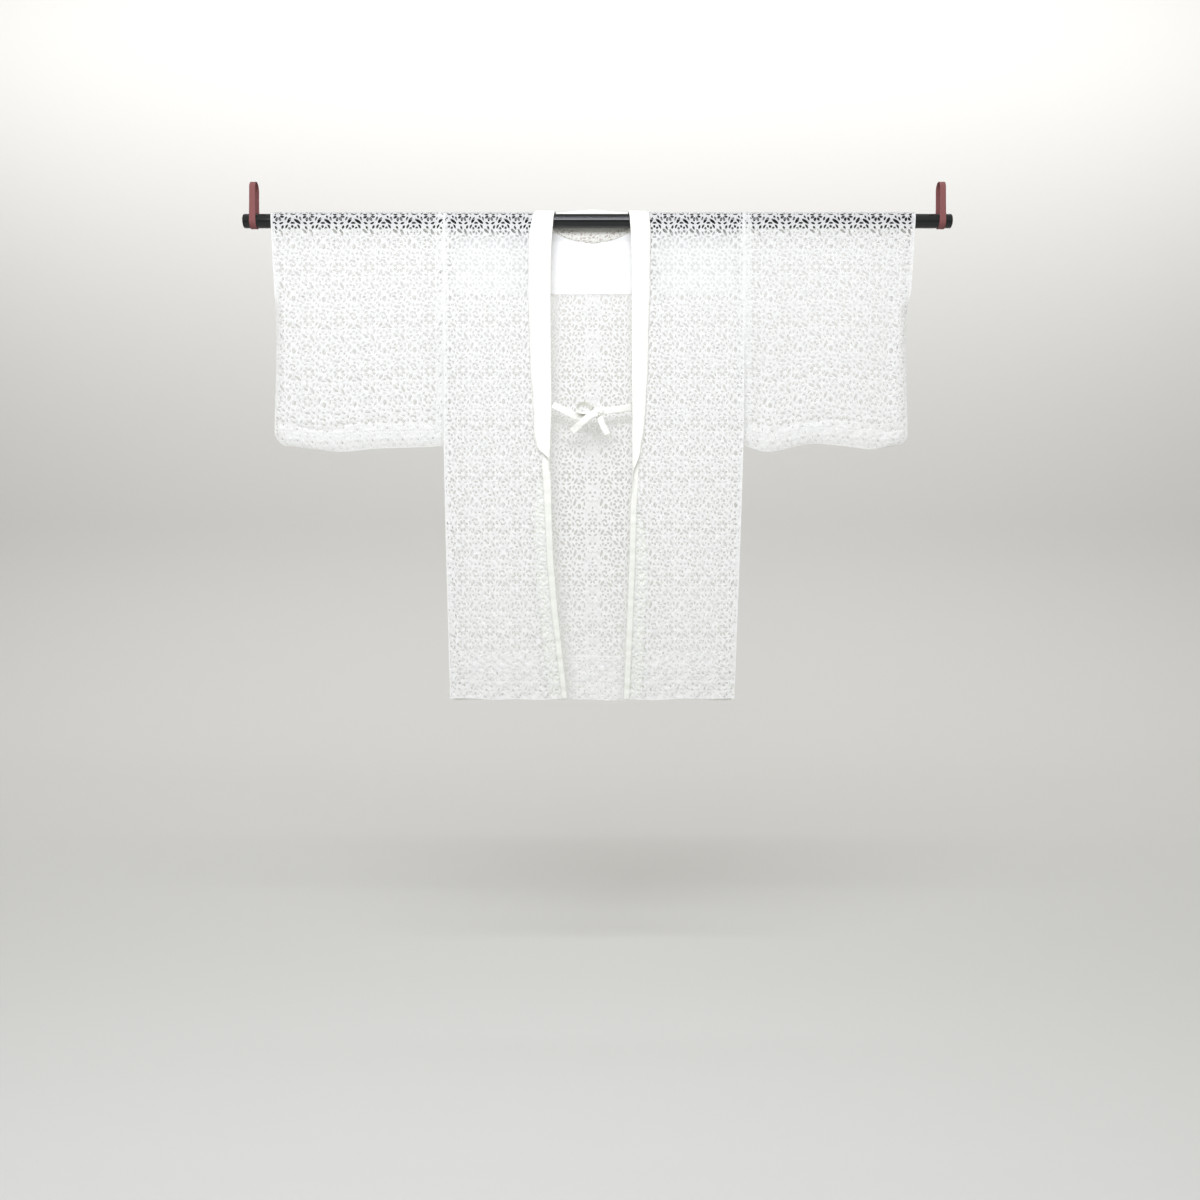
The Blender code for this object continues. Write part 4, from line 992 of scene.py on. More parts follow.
# %% Sheets to pieces
def add_piece(name, points, faces, cut, material, replaced):
    """A mesh piece that rides on the one body, with its flat place as the attribute "cut"."""
    data = bpy.data.meshes.new(name)
    data.from_pydata(points.tolist(), [], faces)
    data.validate()
    data.polygons.foreach_set("use_smooth", np.ones(len(data.polygons), bool))
    place = data.attributes.new("cut", "FLOAT_VECTOR", "POINT")
    flat = np.zeros((len(points), 3), np.float32)
    flat[:, : cut.shape[1]] = cut
    place.data.foreach_set("vector", flat.ravel())
    data.materials.append(material)
    piece = bpy.data.objects.new(name, data)
    bpy.context.scene.collection.objects.link(piece)
    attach(piece, "root")
    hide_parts(*replaced)
    print(name, len(faces), "faces")
    return piece


def sew(name, sheets, nodes):
    """Joins sheets of (points, faces, flat places) to one piece of lace."""
    points, _, cut = (np.concatenate([sheet[n] for sheet in sheets]) for n in (0, 1, 2))
    starts = np.cumsum([0] + [len(sheet[0]) for sheet in sheets[:-1]])
    faces = np.concatenate([sheet[1] + start for sheet, start in zip(sheets, starts)])
    return add_piece(name, points, faces.tolist(), cut, LACE, nodes)


def lace_sheet(xs, top, foot, sides, origin, place, over_rod=False, repeat=BODY_REPEAT_WIDE):
    """Lace between two levels, cut away below 0 of its sides and hung by place(x, down, rise)."""
    heights = [*sides, lambda x, down: down - top, lambda x, down: foot - down]
    points, triangles = trim(*flat_lace(xs, top, foot, origin, repeat), heights)
    if over_rod:
        points, triangles = bend_lines(points, triangles)
    return place(*points.T), triangles, points


def beyond(sign, edge):
    """Keeps what lies further from the centre line than edge(down)."""
    return lambda x, down: sign * x - edge(down)


def within(sign, edge):
    """Keeps what lies nearer the centre line than edge(down)."""
    return lambda x, down: edge(down) - sign * x


def edge_strip(path, width, place):
    """A narrow solid strip along a folded or sewn edge, on the left of the flat path."""
    heading = unit(np.gradient(path, axis=0))
    aside = np.stack([heading[:, 1], -heading[:, 0]], 1)
    flat = np.concatenate([path, path + aside * width])
    count = len(path)
    first = np.arange(count - 1)
    upper = np.stack([first, first + 1, first + count], 1)
    lower = np.stack([first + 1, first + count + 1, first + count], 1)
    flat = np.concatenate([flat, np.zeros((len(flat), 1))], 1)
    return place(*flat.T), np.concatenate([upper, lower]), flat


def level_line(sign, inner, outer, down, points=80):
    """A level line of the flat cut between two distances from the centre line."""
    xs = np.linspace(*sorted((sign * float(inner), sign * float(outer))), points)
    return np.stack([xs, np.full(points, down)], 1)


def cut_area(width, low, high):
    """The flat area in square metres of a cut whose width in mm is width(down)."""
    downs = np.linspace(low, high, 200)
    widths = width(downs)
    return float(((widths[1:] + widths[:-1]) / 2 * np.diff(downs)).sum()) * MM * MM


def widest(width, foot):
    """The greatest width of a cut, in metres."""
    return float(width(np.linspace(0.0, foot, 50)).max()) * MM


# %% [markdown]
# ## The body
# Each half of the body is one length of lace from front hem to back hem; front and back are made apart
# here because they meet on the shoulder line. Side seams keep 10 mm of allowance behind them, the centre
# back seam 17 mm on each side, and the hem is turned up 92 mm, so these bands are two layers of lace.

# %% Fronts and backs
SIDE_ALLOWANCE = 10.0
BACK_ALLOWANCE = 17.0
STRIP_OUT = -0.7
EDGE_WIDTH = 2.6
EDGE_PROUD = 0.4
FOLD_WIDTH = 3.4
FRONT_ORIGIN = 265.0
# How far from the centre line lace is laid out before it is cut
BODY_REACH = 318.0
SEAM_REACH = (280.0, 330.0)


def proud(panel, point):
    """Hangs a strip just outside its panel."""
    return lambda x, down, rise: point(panel, x, down, EDGE_PROUD)


def body_sheets(panel, origin, foot, cuts, inner, inset):
    """The panel, its turned-up hem, its side allowance and the strips along its edges."""
    side, sign, _ = parts(panel)
    across = (0.0, sign * BODY_REACH)
    beside = [sign * x for x in SEAM_REACH]

    def edge(down):
        return body_edge(side, down)

    def turned_edge(down):
        return edge(2 * foot - down) - TURN_UP_INSET

    def turned_inner(down):
        return inner(2 * foot - down) + inset

    def hang(x, down, rise):
        return body_point(panel, x, down, rise)

    def turned_up(x, down, rise):
        return body_point(panel, x, 2 * foot - down, -LAYER - rise)

    def turned_in(x, down, rise):
        return body_point(panel, 2 * sign * edge(down) - x, down, STRIP_OUT - rise)

    hem_sides = [within(sign, turned_edge), beyond(sign, turned_inner)]
    seam_sides = [beyond(sign, edge), within(sign, lambda down: edge(down) + SIDE_ALLOWANCE)]
    downs = np.arange(0.0, foot + 3.0, 4.0).clip(0.0, foot)
    seam = np.stack([sign * (edge(downs) + 0.2), downs], 1)
    hem = level_line(sign, inner(foot), edge(foot), foot)
    top = foot + HEM_BAND - FOLD_WIDTH
    fold = level_line(sign, turned_inner(top), turned_edge(top), top)
    fold[:, 1] += 0.6 * np.sin(fold[:, 0] / 31.0)
    return [
        lace_sheet(across, 0.0, foot, [within(sign, edge), *cuts], origin, hang, True),
        lace_sheet(across, foot, foot + HEM_BAND, hem_sides, origin, turned_up),
        lace_sheet(beside, QUARTER, foot - HEM_BAND, seam_sides, origin, turned_in),
        edge_strip(seam[::-sign], EDGE_WIDTH, proud(panel, body_point)),
        edge_strip(hem, EDGE_WIDTH, proud(panel, body_point)),
        edge_strip(fold[::-1], FOLD_WIDTH, lambda x, down, rise: turned_up(x, down, EDGE_PROUD)),
    ]


def make_body(panel):
    """A front or a back of the body."""
    side, sign, facing = parts(panel)
    front = facing < 0
    foot = QUARTER + (FRONT_DROP if front else BACK_DROP)

    def inner(down):
        return collar_seam(side, down) if front else np.zeros_like(down)

    def neck(x, down):
        return np.maximum(sign * x - neck_seam(side, down), down - NECK_FOOT)

    def folded(x, down, rise):
        return body_point(panel, -x, down, STRIP_OUT - rise)

    def width(down):
        seam = collar_seam(side, down) if front else neck_seam(side, down) - BACK_ALLOWANCE
        return body_edge(side, down) - seam + SIDE_ALLOWANCE

    if front:
        sheets = body_sheets(panel, sign * FRONT_ORIGIN, foot, [beyond(sign, inner)], inner, COLLAR_INSET)
        area = cut_area(width, 0.0, foot) + (width(foot) - COLLAR_INSET) * HEM_BAND * MM * MM
    else:
        sheets = body_sheets(panel, 0.0, foot, [neck, beyond(sign, inner)], inner, 0.0)
        sides = [beyond(-sign, inner), within(-sign, lambda down: BACK_ALLOWANCE)]
        low_end = foot - HEM_BAND
        across = (0.0, -sign * BACK_ALLOWANCE)
        sheets.append(lace_sheet(across, NECK_FOOT + NECK_EASE, low_end, sides, 0.0, folded))
        area = cut_area(width, 0.0, foot + HEM_BAND)
    piece = sew(f"lace_{panel}", sheets, [panel, f"hem_{panel}"])
    widest(width, foot)


for panel in ("front_left", "back_left", "front_right", "back_right"):
    make_body(panel)

# %% [markdown]
# ## The sleeves
# A sleeve is one length of lace that hangs over the rod and is closed along its bottom and below the
# wrist. At the body it carries a dense 16 mm seam allowance, the wrist and the open inner edge have
# narrow hems, and at the bottom two allowances lie together, turned to the front.

# %% Sleeves
SLEEVE_SEAM = 16.0
NARROW_HEM = 8.0
SLEEVE_FOOT = QUARTER + SLEEVE_DROP
SLEEVE_ORIGIN = {"left": -643.8, "right": 333.5}
CORNER_RUN = 34.0
# How far from the centre line, and beside an edge, lace is laid out before it is cut
SLEEVE_REACH = (296.0, 668.0)
EDGE_REACH = 30.0
# The bottom's two allowances: how far each lies behind the front's lace, and how far its pattern shifts
BOTTOM_LAYERS = ((-0.8, 31.0), (-1.6, 14.0))


def sleeve_lace(side, xs, top, foot, sides, place, over_rod=True, shift=0.0):
    """A sheet of a sleeve, whose pattern starts from the sleeve's own flower."""
    origin = SLEEVE_ORIGIN[side] + shift
    xs = [SIGN[side] * x for x in xs]
    return lace_sheet(xs, top, foot, sides, origin, place, over_rod, REPEAT_WIDE)


def sleeve_sheets(side, face):
    """One face of a sleeve with its seam allowance, its narrow hem and the strips along its edges."""
    panel = f"sleeve_{side}_{face}"
    sign = SIGN[side]

    def inner(down):
        return body_edge(side, down) + 2.0 * smooth(ARMHOLE_DROP, SLEEVE_DROP, down - QUARTER)

    def outer(down):
        return cuff_edge(side, down)

    def hang(x, down, rise):
        return sleeve_point(panel, x, down, rise)

    cuts = [beyond(sign, inner), within(sign, outer)]
    sheets = [sleeve_lace(side, SLEEVE_REACH, 0.0, SLEEVE_FOOT, cuts, hang)]
    for edge, away, width, short in ((inner, -1, SLEEVE_SEAM, 30.0), (outer, 1, NARROW_HEM, 60.0)):

        def past_edge(x, down):
            return away * (sign * x - edge(down))

        def folded(x, down, rise):
            return sleeve_point(panel, 2 * sign * edge(down) - x, down, STRIP_OUT - rise)

        near = edge(QUARTER + 100.0)
        beside = (near - EDGE_REACH, near + EDGE_REACH)
        cuts = [past_edge, lambda x, down: width - past_edge(x, down)]
        sheets.append(sleeve_lace(side, beside, 0.0, SLEEVE_FOOT - short, cuts, folded))
    straight = np.arange(0.0, SLEEVE_FOOT - CORNER_RUN, 5.0)
    corner = SLEEVE_FOOT - CORNER_RUN + CORNER_RUN * np.sin(np.linspace(0.0, math.pi / 2, 12))
    downs = np.concatenate([straight, corner])
    seam, cuff = (np.stack([sign * edge(downs), downs], 1) for edge in (inner, outer))
    bottom = level_line(sign, inner(SLEEVE_FOOT), outer(SLEEVE_FOOT), SLEEVE_FOOT)
    for path in (seam[::sign], cuff[::-sign], bottom):
        sheets.append(edge_strip(path, EDGE_WIDTH, proud(panel, sleeve_point)))
    return sheets


def bottom_allowance(side, out, shift):
    """A layer of the allowance along a sleeve's bottom, turned up inside its front."""
    sides = [
        beyond(SIGN[side], lambda down: body_edge(side, down) + 6.0),
        within(SIGN[side], lambda down: cuff_edge(side, down) - 8.0),
    ]

    def hang(x, down, rise):
        return sleeve_point(f"sleeve_{side}_front", x, down, out - 0.3 * rise)

    top, foot = SLEEVE_FOOT - ALLOWANCE, SLEEVE_FOOT - 4.0
    return sleeve_lace(side, SLEEVE_REACH, top, foot, sides, hang, False, shift)


def make_sleeve(side):
    sheets = sleeve_sheets(side, "front") + sleeve_sheets(side, "back")
    sheets += [bottom_allowance(side, *layer) for layer in BOTTOM_LAYERS]
    nodes = [f"sleeve_{side}_{part}" for part in ("front", "back", "allowance")]
    piece = sew(f"lace_sleeve_{side}", sheets, nodes)

    def width(down):
        return cuff_edge(side, down) - body_edge(side, down) + SLEEVE_SEAM + NARROW_HEM

    low_band = width(SLEEVE_FOOT - 40.0) * (ALLOWANCE - 4.0) * MM * MM
    area = 2 * cut_area(width, 0.0, SLEEVE_FOOT) + 2 * low_band
    size = (widest(width, SLEEVE_FOOT), 2 * (SLEEVE_FOOT + ALLOWANCE) * MM)


for side in SIGN:
    make_sleeve(side)

# %% [markdown]
# ## The side gussets
# A long wedge of lace joins front and back below each armhole. It is wider than the space it hangs in,
# so its middle bows inwards.

# %% Gussets
def gusset_width(down):
    run = (down - QUARTER - ARMHOLE_DROP) / (FRONT_DROP - ARMHOLE_DROP)
    return GUSSET_TOP_WIDTH + (GUSSET_HEM_WIDTH - GUSSET_TOP_WIDTH) * run


def make_gusset(side):
    top, foot = QUARTER + ARMHOLE_DROP, QUARTER + FRONT_DROP

    def hang(across, down, out=0.0):
        chord = 2 * (body_half(down) - LACE_WALL / 2 - GUSSET_ROOM)
        width = gusset_width(down)
        bow_in = chord / math.pi * 2 * np.sqrt(np.maximum(width / chord - 1, 0.0))
        t = across / width
        bow_in = bow_in * np.sin(math.pi * t) ** 2 + 0.8 * np.sin(down / 43.0) * np.sin(math.pi * t)
        x = body_edge(side, down) - LACE_WALL / 2 - bow_in - out
        return world(SIGN[side] * x, chord * (t - 0.5), QUARTER - down)

    def outside(x, down, rise):
        return hang(x, down, -rise)

    def turned_up(x, down, rise):
        return hang(x, 2 * foot - down, 0.6 + rise)

    xs = (0.0, GUSSET_HEM_WIDTH)
    middle = GUSSET_TOP_WIDTH / 2
    main_sides = [beyond(1, lambda down: 0.0), within(1, gusset_width)]
    hem_sides = [beyond(1, lambda down: 2.0), within(1, lambda down: gusset_width(2 * foot - down) - 2.0)]
    low_edge = level_line(1, *xs, foot, 20)
    sheets = [
        lace_sheet(xs, top, foot, main_sides, middle + BODY_REPEAT_WIDE / 2, outside),
        lace_sheet(xs, foot, foot + HEM_BAND, hem_sides, middle, turned_up),
        edge_strip(low_edge, EDGE_WIDTH, lambda x, down, rise: hang(x, down, -EDGE_PROUD)),
    ]
    piece = sew(f"lace_gusset_{side}", sheets, [f"gusset_{side}"])
    area = cut_area(gusset_width, top, foot) + gusset_width(foot) * HEM_BAND * MM * MM


for side in SIGN:
    make_gusset(side)

# %% [markdown]
# ## The collar
# One folded band runs from hem to hem round the neck. In front its free part is turned outwards over the
# front down to the ties and under it below them, and behind the neck it stands up. The band is lofted
# from cross sections, close together where it twists, and given the thickness of its layers.

# %% Collar
COLLAR_SPACING = 4.0
SECTION_STEPS = 6


def collar_rest(turn, flap):
    """The rounded fold and the flap beyond it, as reaches onward and rises to the side it turns to."""
    angle = math.radians(turn)
    rest = []
    for n in range(1, SECTION_STEPS + 1):
        half = angle * n / SECTION_STEPS / 2
        length = COLLAR_BEND_LENGTH * n / SECTION_STEPS
        chord = length if abs(half) < 1e-3 else length * math.sin(half) / half
        rest.append((chord * math.cos(half), chord * math.sin(half)))
    reach, rise = rest[-1]
    for n in range(1, SECTION_STEPS + 1):
        share = flap * n / SECTION_STEPS
        rest.append((reach + share * math.cos(angle), rise + share * math.sin(angle)))
    return rest


def collar_section(seam, level, normal, straight, rest):
    """The collar's width at one place, from its seam along level, then turned towards normal."""
    section = [seam + level * straight * MM * n / 4 for n in range(5)]
    return section + [section[-1] + (level * reach + normal * rise) * MM for reach, rise in rest]


def surface_normal(facing, down):
    """Outwards from the cloth as it passes over the rod and down."""
    angle = min(down / LACE_BEND, math.pi / 2)
    return np.array([0.0, facing * math.sin(angle), math.cos(angle)])


def front_sections(side):
    """Sections of one side's front collar, from the shoulder to the hem."""
    sign = SIGN[side]
    hanging = np.arange(QUARTER, QUARTER + FRONT_DROP, COLLAR_SPACING)
    downs = [GAP] + [QUARTER * n / 10 for n in range(1, 10)] + hanging.tolist() + [QUARTER + FRONT_DROP]
    level = np.array([-sign, 0.0, 0.0])
    sections = []
    for down in downs:
        inner, turn, flap = (
            float(read(COLLAR[side], column, down - QUARTER)) for column in ("inner", "turn", "flap")
        )
        ease = float(smooth(QUARTER, QUARTER + 60.0, down))
        flap += ease * (0.5 * math.sin(down / 23.0) + 0.35 * math.sin(down / 9.1 + 1.0))
        rest = collar_rest(min(max(turn, -180.0), 180.0), flap)
        straight = max(inner - COLLAR_WALL / 2 - max(reach for reach, _ in rest), 2.0)
        at = np.array([down])
        seam = body_point(f"front_{side}", sign * collar_seam(side, at), at)[0]
        sections.append(collar_section(seam, level, surface_normal(-1, down), straight, rest))
    return sections


def back_sections():
    """Sections of the collar round the back of the neck, from the left shoulder to the right."""
    places = [row.down for row in NECK]
    halfway = [(low + high) / 2 for low, high in zip(places, places[1:])]
    downs = [GAP, *sorted(places[1:] + halfway)]
    stations = [("left", down) for down in downs] + [("right", down) for down in reversed(downs[:-1])]
    sections = []
    for side, down in stations:
        row = Neck(down, *(float(read(NECK, column, down)) for column in Neck._fields[1:]))
        scale = SIGN[side] * NECK_SCALE[side]
        at = np.array([down])
        edge = hung(1, np.array([row.seam * scale]), at, body_half(at), 0.0)[0]
        fold = world(row.fold_x * scale, row.fold_y, row.fold_z)
        free = world(row.free_x * scale, row.free_y, row.free_z)
        inner = np.linalg.norm(fold - edge)
        level = (fold - edge) / inner
        onward = (free - fold) / MM
        aside = onward + surface_normal(1, down) * COLLAR_BEND_LENGTH / 2
        normal = unit(aside - level * aside.dot(level))
        turn = math.degrees(math.atan2(onward.dot(normal), onward.dot(level)))
        turn = 180 - (180 - turn) * float(smooth(0.0, QUARTER, down))
        seam = edge + level * GAP * MM
        rest = collar_rest(turn, np.linalg.norm(onward) - FOLD_REACH)
        sections.append(collar_section(seam, level, normal, inner / MM - FOLD_REACH, rest))
    return sections


def loft(name, sections, material, replaced, closed=False, closed_along=False):
    """A surface through sections of equally many points, with its flat place measured along it."""
    grid = np.array(sections)
    rows, wide = grid.shape[:2]
    beside = np.roll(grid, -1, 1) if closed else grid[:, 1:]
    steps = np.linalg.norm(beside - grid[:, : beside.shape[1]], axis=2)
    across = np.concatenate([np.zeros((rows, 1)), np.cumsum(steps, 1)], 1)[:, :wide]
    runs = np.linalg.norm(np.diff(grid, axis=0), axis=2).mean(1)
    along = np.concatenate([[0.0], np.cumsum(runs)])
    cut = np.stack([across, np.broadcast_to(along[:, None], across.shape)], 2).reshape(-1, 2) / MM
    faces = []
    for row in range(rows if closed_along else rows - 1):
        here, after = row * wide, (row + 1) % rows * wide
        for n in range(wide if closed else wide - 1):
            there = (n + 1) % wide
            faces.append((here + n, here + there, after + there, after + n))
    piece = add_piece(name, grid.reshape(-1, 3), faces, cut, material, replaced)
    return piece, float(along[-1]), float(across.max())


def make_collar():
    """The whole band, hem to hem. Its ends narrow, so its area is nine tenths of its box."""
    sections = front_sections("left")[::-1] + back_sections() + front_sections("right")
    nodes = ["collar_left", "collar_back", "collar_right"]
    piece, length, width = loft("collar_band", sections, COLLAR_CLOTH, nodes)
    layers = piece.modifiers.new("layers", "SOLIDIFY")
    layers.thickness = (COLLAR_WALL - 0.3) * MM
    layers.offset = 0.0
    layers.use_even_offset = True
    print("collar, hem to hem", round(length, 3), "m")


make_collar()

# %% [markdown]
# ## The yoke lining
# A plain white lining lies inside the back neck and shoulders. It is one piece under the lace, cut out
# round the neck, and hangs free 147 mm below the rod.

# %% Yoke lining
NECK_CUT_OUT = 0.0085
YOKE_STEP = 4.0


def flat_cloth(low_x, high_x, foot, step):
    """A plain sheet over a box of the flat cut, as a fine grid of triangles."""
    xs = np.linspace(low_x, high_x, int((high_x - low_x) / step) + 2)
    downs = np.linspace(0.0, foot, int(foot / step) + 2)
    points = np.array([(x, down, 0.0) for down in downs for x in xs])
    wide = len(xs)
    first = np.array([row * wide + n for row in range(len(downs) - 1) for n in range(wide - 1)])
    upper = np.stack([first, first + 1, first + wide], 1)
    lower = np.stack([first + 1, first + wide + 1, first + wide], 1)
    return points, np.concatenate([upper, lower])


def make_yoke():
    foot = QUARTER + YOKE_DROP

    def sides(x, down):
        edge = np.where(x < 0, body_edge("left", down), body_edge("right", down))
        return edge - YOKE_INSET - np.abs(x)

    def neck(x, down):
        seam = np.where(x < 0, neck_seam("left", down), neck_seam("right", down))
        return np.maximum(np.abs(x) - seam - NECK_EASE, down - NECK_FOOT - NECK_EASE)

    sheet = trim(*flat_cloth(-320.0, 320.0, foot, YOKE_STEP), [sides, neck])
    points, triangles = bend_lines(*sheet)
    x, down = points[:, 0], points[:, 1]
    wave = 0.35 * np.sin(x / 21.0 + 0.5 * np.sin(down / 26.0)) * smooth(NECK_FOOT, foot, down)
    left = body_point("back_left", np.minimum(x, 0.0), down)
    right = body_point("back_right", np.maximum(x, 0.0), down)
    half = np.where(down < QUARTER, LACE_BEND, np.where(x < 0, left[:, 1], right[:, 1]) / MM)
    place = hung(1, x, down, half, LINING_OUT - wave)
    nodes = ["yoke_left", "yoke_right"]
    piece = add_piece("yoke_lining", place, triangles.tolist(), points, LINING, nodes)
    area = cut_area(lambda d: 2 * (body_edge("left", d) - YOKE_INSET), 0.0, foot) - NECK_CUT_OUT


make_yoke()

# %% [markdown]
# ## The ties
# Two ribbons of the same lace, folded to 14 mm, hang in a slack bow below the collar's turn. Each is a
# flattened tube with soft edges, a shallow trough along its middle and a few twists.

# %% Ties
TIE_SPACING = 3.0
TIE_POINTS = 14


def tie_sections(name):
    """Sections round one ribbon: a flat oval that narrows and leans along its way."""
    rows = TIES[name]
    last = len(rows) - 1

    def centre(at):
        x, drop, fore = (float(read(rows, column, at)) for column in ("x", "drop", "fore"))
        return np.array([x, -fore, -drop])

    span = sum(np.linalg.norm(centre(n + 1.0) - centre(float(n))) for n in range(last))
    steps = int(span / TIE_SPACING)
    forwards = np.array([0.0, -1.0, 0.0])
    sections = []
    for n in range(steps + 1):
        at = last * n / steps
        here = centre(at)
        heading = unit(centre(min(at + 0.05, last)) - centre(max(at - 0.05, 0.0)))
        across = unit(np.cross(heading, forwards))
        lean = math.radians(float(read(rows, "lean", at)))
        wide = across * math.cos(lean) + forwards * math.sin(lean)
        thick = np.cross(wide, heading)
        rag = 1 + 0.05 * math.sin(n * 0.9) + 0.04 * math.sin(n * 0.37 + 1.0)
        section = []
        for k in range(TIE_POINTS):
            turn = 2 * math.pi * k / TIE_POINTS
            reach = math.cos(turn) * TIE_WIDTH / 2 * rag
            rise = math.sin(turn) * 0.95 * (1.0 - 0.35 * math.cos(turn) ** 2)
            trough = -0.7 * math.exp(-((reach / 2.6) ** 2)) + 0.25 * math.sin(n * 0.55 + reach * 0.35)
            section.append(world(*(here + wide * reach + thick * (rise + trough))))
        sections.append(section)
    return sections


def face_outwards(piece, rings=()):
    """Fills the given rings of points, and turns every face outwards."""
    mesh = bmesh.new()
    mesh.from_mesh(piece.data)
    mesh.verts.ensure_lookup_table()
    for ring in rings:
        bmesh.ops.contextual_create(mesh, geom=[mesh.verts[n] for n in ring])
    bmesh.ops.recalc_face_normals(mesh, faces=mesh.faces)
    mesh.to_mesh(piece.data)
    mesh.free()


def close_ends(piece, rows, wide):
    """Fills the first and last ring of a tube."""
    face_outwards(piece, (range(wide), range((rows - 1) * wide, rows * wide)))


def make_knot():
    """The loose half knot: a soft lump with the wraps of the ribbon round it."""
    mesh = bmesh.new()
    bmesh.ops.create_uvsphere(mesh, u_segments=40, v_segments=24, radius=1.0)
    points = np.array([vert.co for vert in mesh.verts])
    faces = [[vert.index for vert in face.verts] for face in mesh.faces]
    mesh.free()
    x, y, z = points.T
    wrap = 1 + 0.10 * np.cos(7.0 * z + 3.4 * x) + 0.05 * np.sin(9.0 * x - 5.0 * z)
    centre = world(KNOT.x, -KNOT.fore, -KNOT.drop)
    shaped = points * np.array(KNOT_SIZE) * wrap[:, None] * MM + centre
    cut = np.stack([np.arctan2(y, x) * KNOT_SIZE[0], z * KNOT_SIZE[2]], 1)
    return add_piece("tie_knot_wrap", shaped, faces, cut, TIE_CLOTH, ["tie_knot"])


knot = make_knot()
for name in TIES:
    sections = tie_sections(name)
    ribbon, length, _ = loft(f"ribbon_{name}", sections, TIE_CLOTH, [name], closed=True)
    close_ends(ribbon, len(sections), TIE_POINTS)
    print(name, "is", round(length / MM), "mm long")

# %% [markdown]
# ## The rod and its loops
# The rod is a turned bar with rounded ends, drawn with enough sides that its highlight runs true. Each
# loop is a closed band of woven tape with thick selvedges, which spreads a little where it carries the rod.

# %% The rod
ROD_LENGTH = 1457.0
ROD_ROUNDING = 3.0
ROD_SIDES = 96


def make_rod():
    """Rings along the rod: two on each flat end, five round each edge, and some on the long bar."""
    turns = np.linspace(0.0, math.pi / 2, 5)
    reach = ROD_LENGTH / 2 - ROD_ROUNDING * (1 - np.cos(turns))
    edge = ROD_RADIUS - ROD_ROUNDING * (1 - np.sin(turns))
    bar = np.linspace(reach[-1], -reach[-1], 14)[1:-1]
    xs = np.concatenate([[reach[0]] * 2, reach, bar, -reach[::-1], [-reach[0]] * 2])
    flat_end = [ROD_RADIUS / 4, ROD_RADIUS / 2]
    radii = np.concatenate([flat_end, edge, np.full(len(bar), ROD_RADIUS), edge[::-1], flat_end[::-1]])
    around = 2 * math.pi * np.arange(ROD_SIDES) / ROD_SIDES
    sections = []
    for x, radius in zip(xs, radii):
        ring = [np.full(ROD_SIDES, x), radius * np.cos(around), radius * np.sin(around) + ROD_Z]
        sections.append(np.stack(ring, 1) * MM)
    rod, _, _ = loft("lacquered_rod", sections, LACQUER, ["rod"], closed=True)
    close_ends(rod, len(sections), ROD_SIDES)


make_rod()

# %% The loops
LOOP_SPREAD = 1.3
# Half the tape's outline, as shares of its width and its wall, with thicker selvedges
TAPE_SECTION = (
    *((-0.5, -0.5), (-0.42, -0.62), (0.0, -0.45), (0.42, -0.62), (0.5, -0.5)),
    *((0.5, 0.5), (0.42, 0.62), (0.0, 0.42), (-0.42, 0.62), (-0.5, 0.5)),
)


def loop_path():
    """The loop's middle line in its own plane, with the outward direction at each point."""
    radius = LOOP_INNER + LOOP_WALL / 2
    path = []
    for centre, start in ((LOOP_RUN, 0.0), (0.0, math.pi)):
        for n in range(19):
            angle = start + math.pi * n / 18
            path.append((radius * math.cos(angle), centre + radius * math.sin(angle), angle))
        side = math.cos(start + math.pi) * radius
        heights = (0.75, 0.5, 0.25) if start == 0.0 else (0.25, 0.5, 0.75)
        path += [(side, LOOP_RUN * share, start + math.pi) for share in heights]
    return path


def make_loop(side):
    sections = []
    for y, z, angle in loop_path():
        outward = np.array([0.0, math.cos(angle), math.sin(angle)])
        width = LOOP_WIDTH + LOOP_SPREAD * (1 - float(smooth(-10.0, 40.0, z)))
        section = []
        for across, thick in TAPE_SECTION:
            x = SIGN[side] * LOOP_CENTRE + across * width
            section.append((np.array([x, y, z + ROD_Z]) + outward * thick * LOOP_WALL * 0.85) * MM)
        sections.append(section)
    nodes = [f"loop_{side}"]
    piece, length, _ = loft(f"tape_loop_{side}", sections, TAPE, nodes, True, True)
    face_outwards(piece)


for side in SIGN:
    make_loop(side)

# %% [markdown]
# ## Floor, light and camera
# A plain pale sweep stands well behind the rod, so that views from behind stay clear. Soft light comes
# from a wide panel a little above the rod in front, a strip near the ceiling that draws the rod's thin
# highlight, a wash on the backdrop and a pale surround. The camera is level, below the rod.

# %% Stage
FLOOR_Z = -1.64
SWEEP_START = 3.0
SWEEP_RADIUS = 1.2
SWEEP_REACH = 30.0
SWEEP_TOP = 3.5


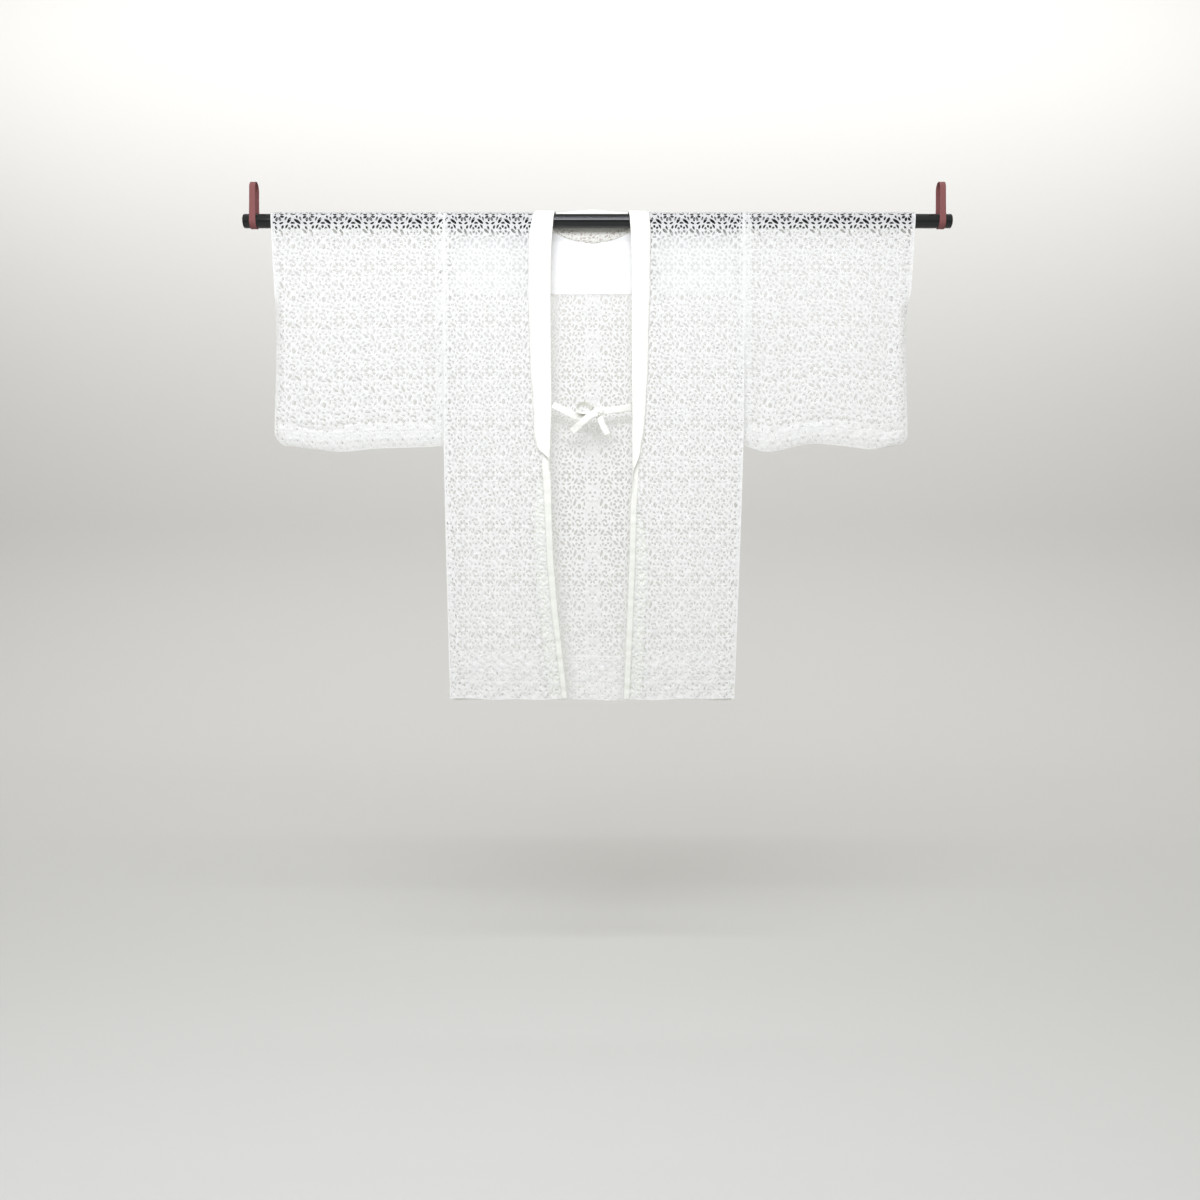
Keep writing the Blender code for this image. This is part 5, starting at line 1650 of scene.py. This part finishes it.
def make_sweep():
    """Floor and backdrop in one curved sheet."""
    turns = [math.pi / 2 * n / 12 for n in range(13)]
    curve = [
        (SWEEP_START + SWEEP_RADIUS * math.sin(turn), FLOOR_Z + SWEEP_RADIUS * (1 - math.cos(turn)))
        for turn in turns
    ]
    profile = [(-SWEEP_REACH, FLOOR_Z), *curve, (SWEEP_START + SWEEP_RADIUS, SWEEP_TOP)]
    points = [(x, y, z) for y, z in profile for x in (-SWEEP_REACH, SWEEP_REACH)]
    faces = [(2 * n, 2 * n + 1, 2 * n + 3, 2 * n + 2) for n in range(len(profile) - 1)]
    data = bpy.data.meshes.new("studio_sweep")
    data.from_pydata(points, [], faces)
    data.polygons.foreach_set("use_smooth", np.ones(len(faces), bool))
    material, tree, shader = new_material("matt_painted_backdrop")
    feed(tree, shader, Base_Color=linear("#CAC9C5"), Roughness=0.9)
    data.materials.append(material)
    sweep = bpy.data.objects.new("studio_sweep", data)
    bpy.context.scene.collection.objects.link(sweep)


def area_light(name, place, target, size, power, colour):
    lamp = bpy.data.lights.new(name, "AREA")
    lamp.shape = "RECTANGLE"
    lamp.size, lamp.size_y = size
    lamp.energy = power
    lamp.color = linear(colour)[:3]
    made = bpy.data.objects.new(name, lamp)
    made.location = place
    made.rotation_euler = (Vector(target) - Vector(place)).to_track_quat("-Z", "Y").to_euler()
    bpy.context.scene.collection.objects.link(made)


def make_world(colour, strength):
    scene = bpy.context.scene
    scene.world = bpy.data.worlds.new("pale_room")
    scene.world.use_nodes = True
    tree = scene.world.node_tree
    feed(tree, tree.nodes["Background"], Color=linear(colour), Strength=strength)


make_sweep()
make_world("#F4F4F1", 0.66)
area_light("front_panel", (-0.3, -2.2, 0.55), (0.0, 0.0, -0.6), (2.2, 0.9), 48.5, "#F5F7FF")
area_light("ceiling_strip", (-0.1, -1.75, 1.8), (0.0, 0.0, -0.2), (2.4, 0.12), 22.0, "#F4F6FF")
area_light("backdrop_wash", (0.0, 2.5, 2.7), (0.0, 4.2, 1.1), (9.0, 0.8), 150.0, "#FBFBFF")

# %% Camera
CAMERA_PLACE = (-17.5, -2550.0, -859.0)
LENS = 37.15
IMAGE_SIZE = 1200
AXIS_PIXEL = 589

camera_data = bpy.data.cameras.new("camera")
camera_data.lens = LENS
camera_data.sensor_width = 36.0
camera_data.shift_x = (IMAGE_SIZE / 2 - AXIS_PIXEL) / IMAGE_SIZE
camera = bpy.data.objects.new("camera", camera_data)
camera.location = [x * MM for x in CAMERA_PLACE]
camera.rotation_euler = (math.pi / 2, 0.0, 0.0)
bpy.context.scene.collection.objects.link(camera)
bpy.context.scene.camera = camera
bpy.context.scene.view_settings.view_transform = "Standard"
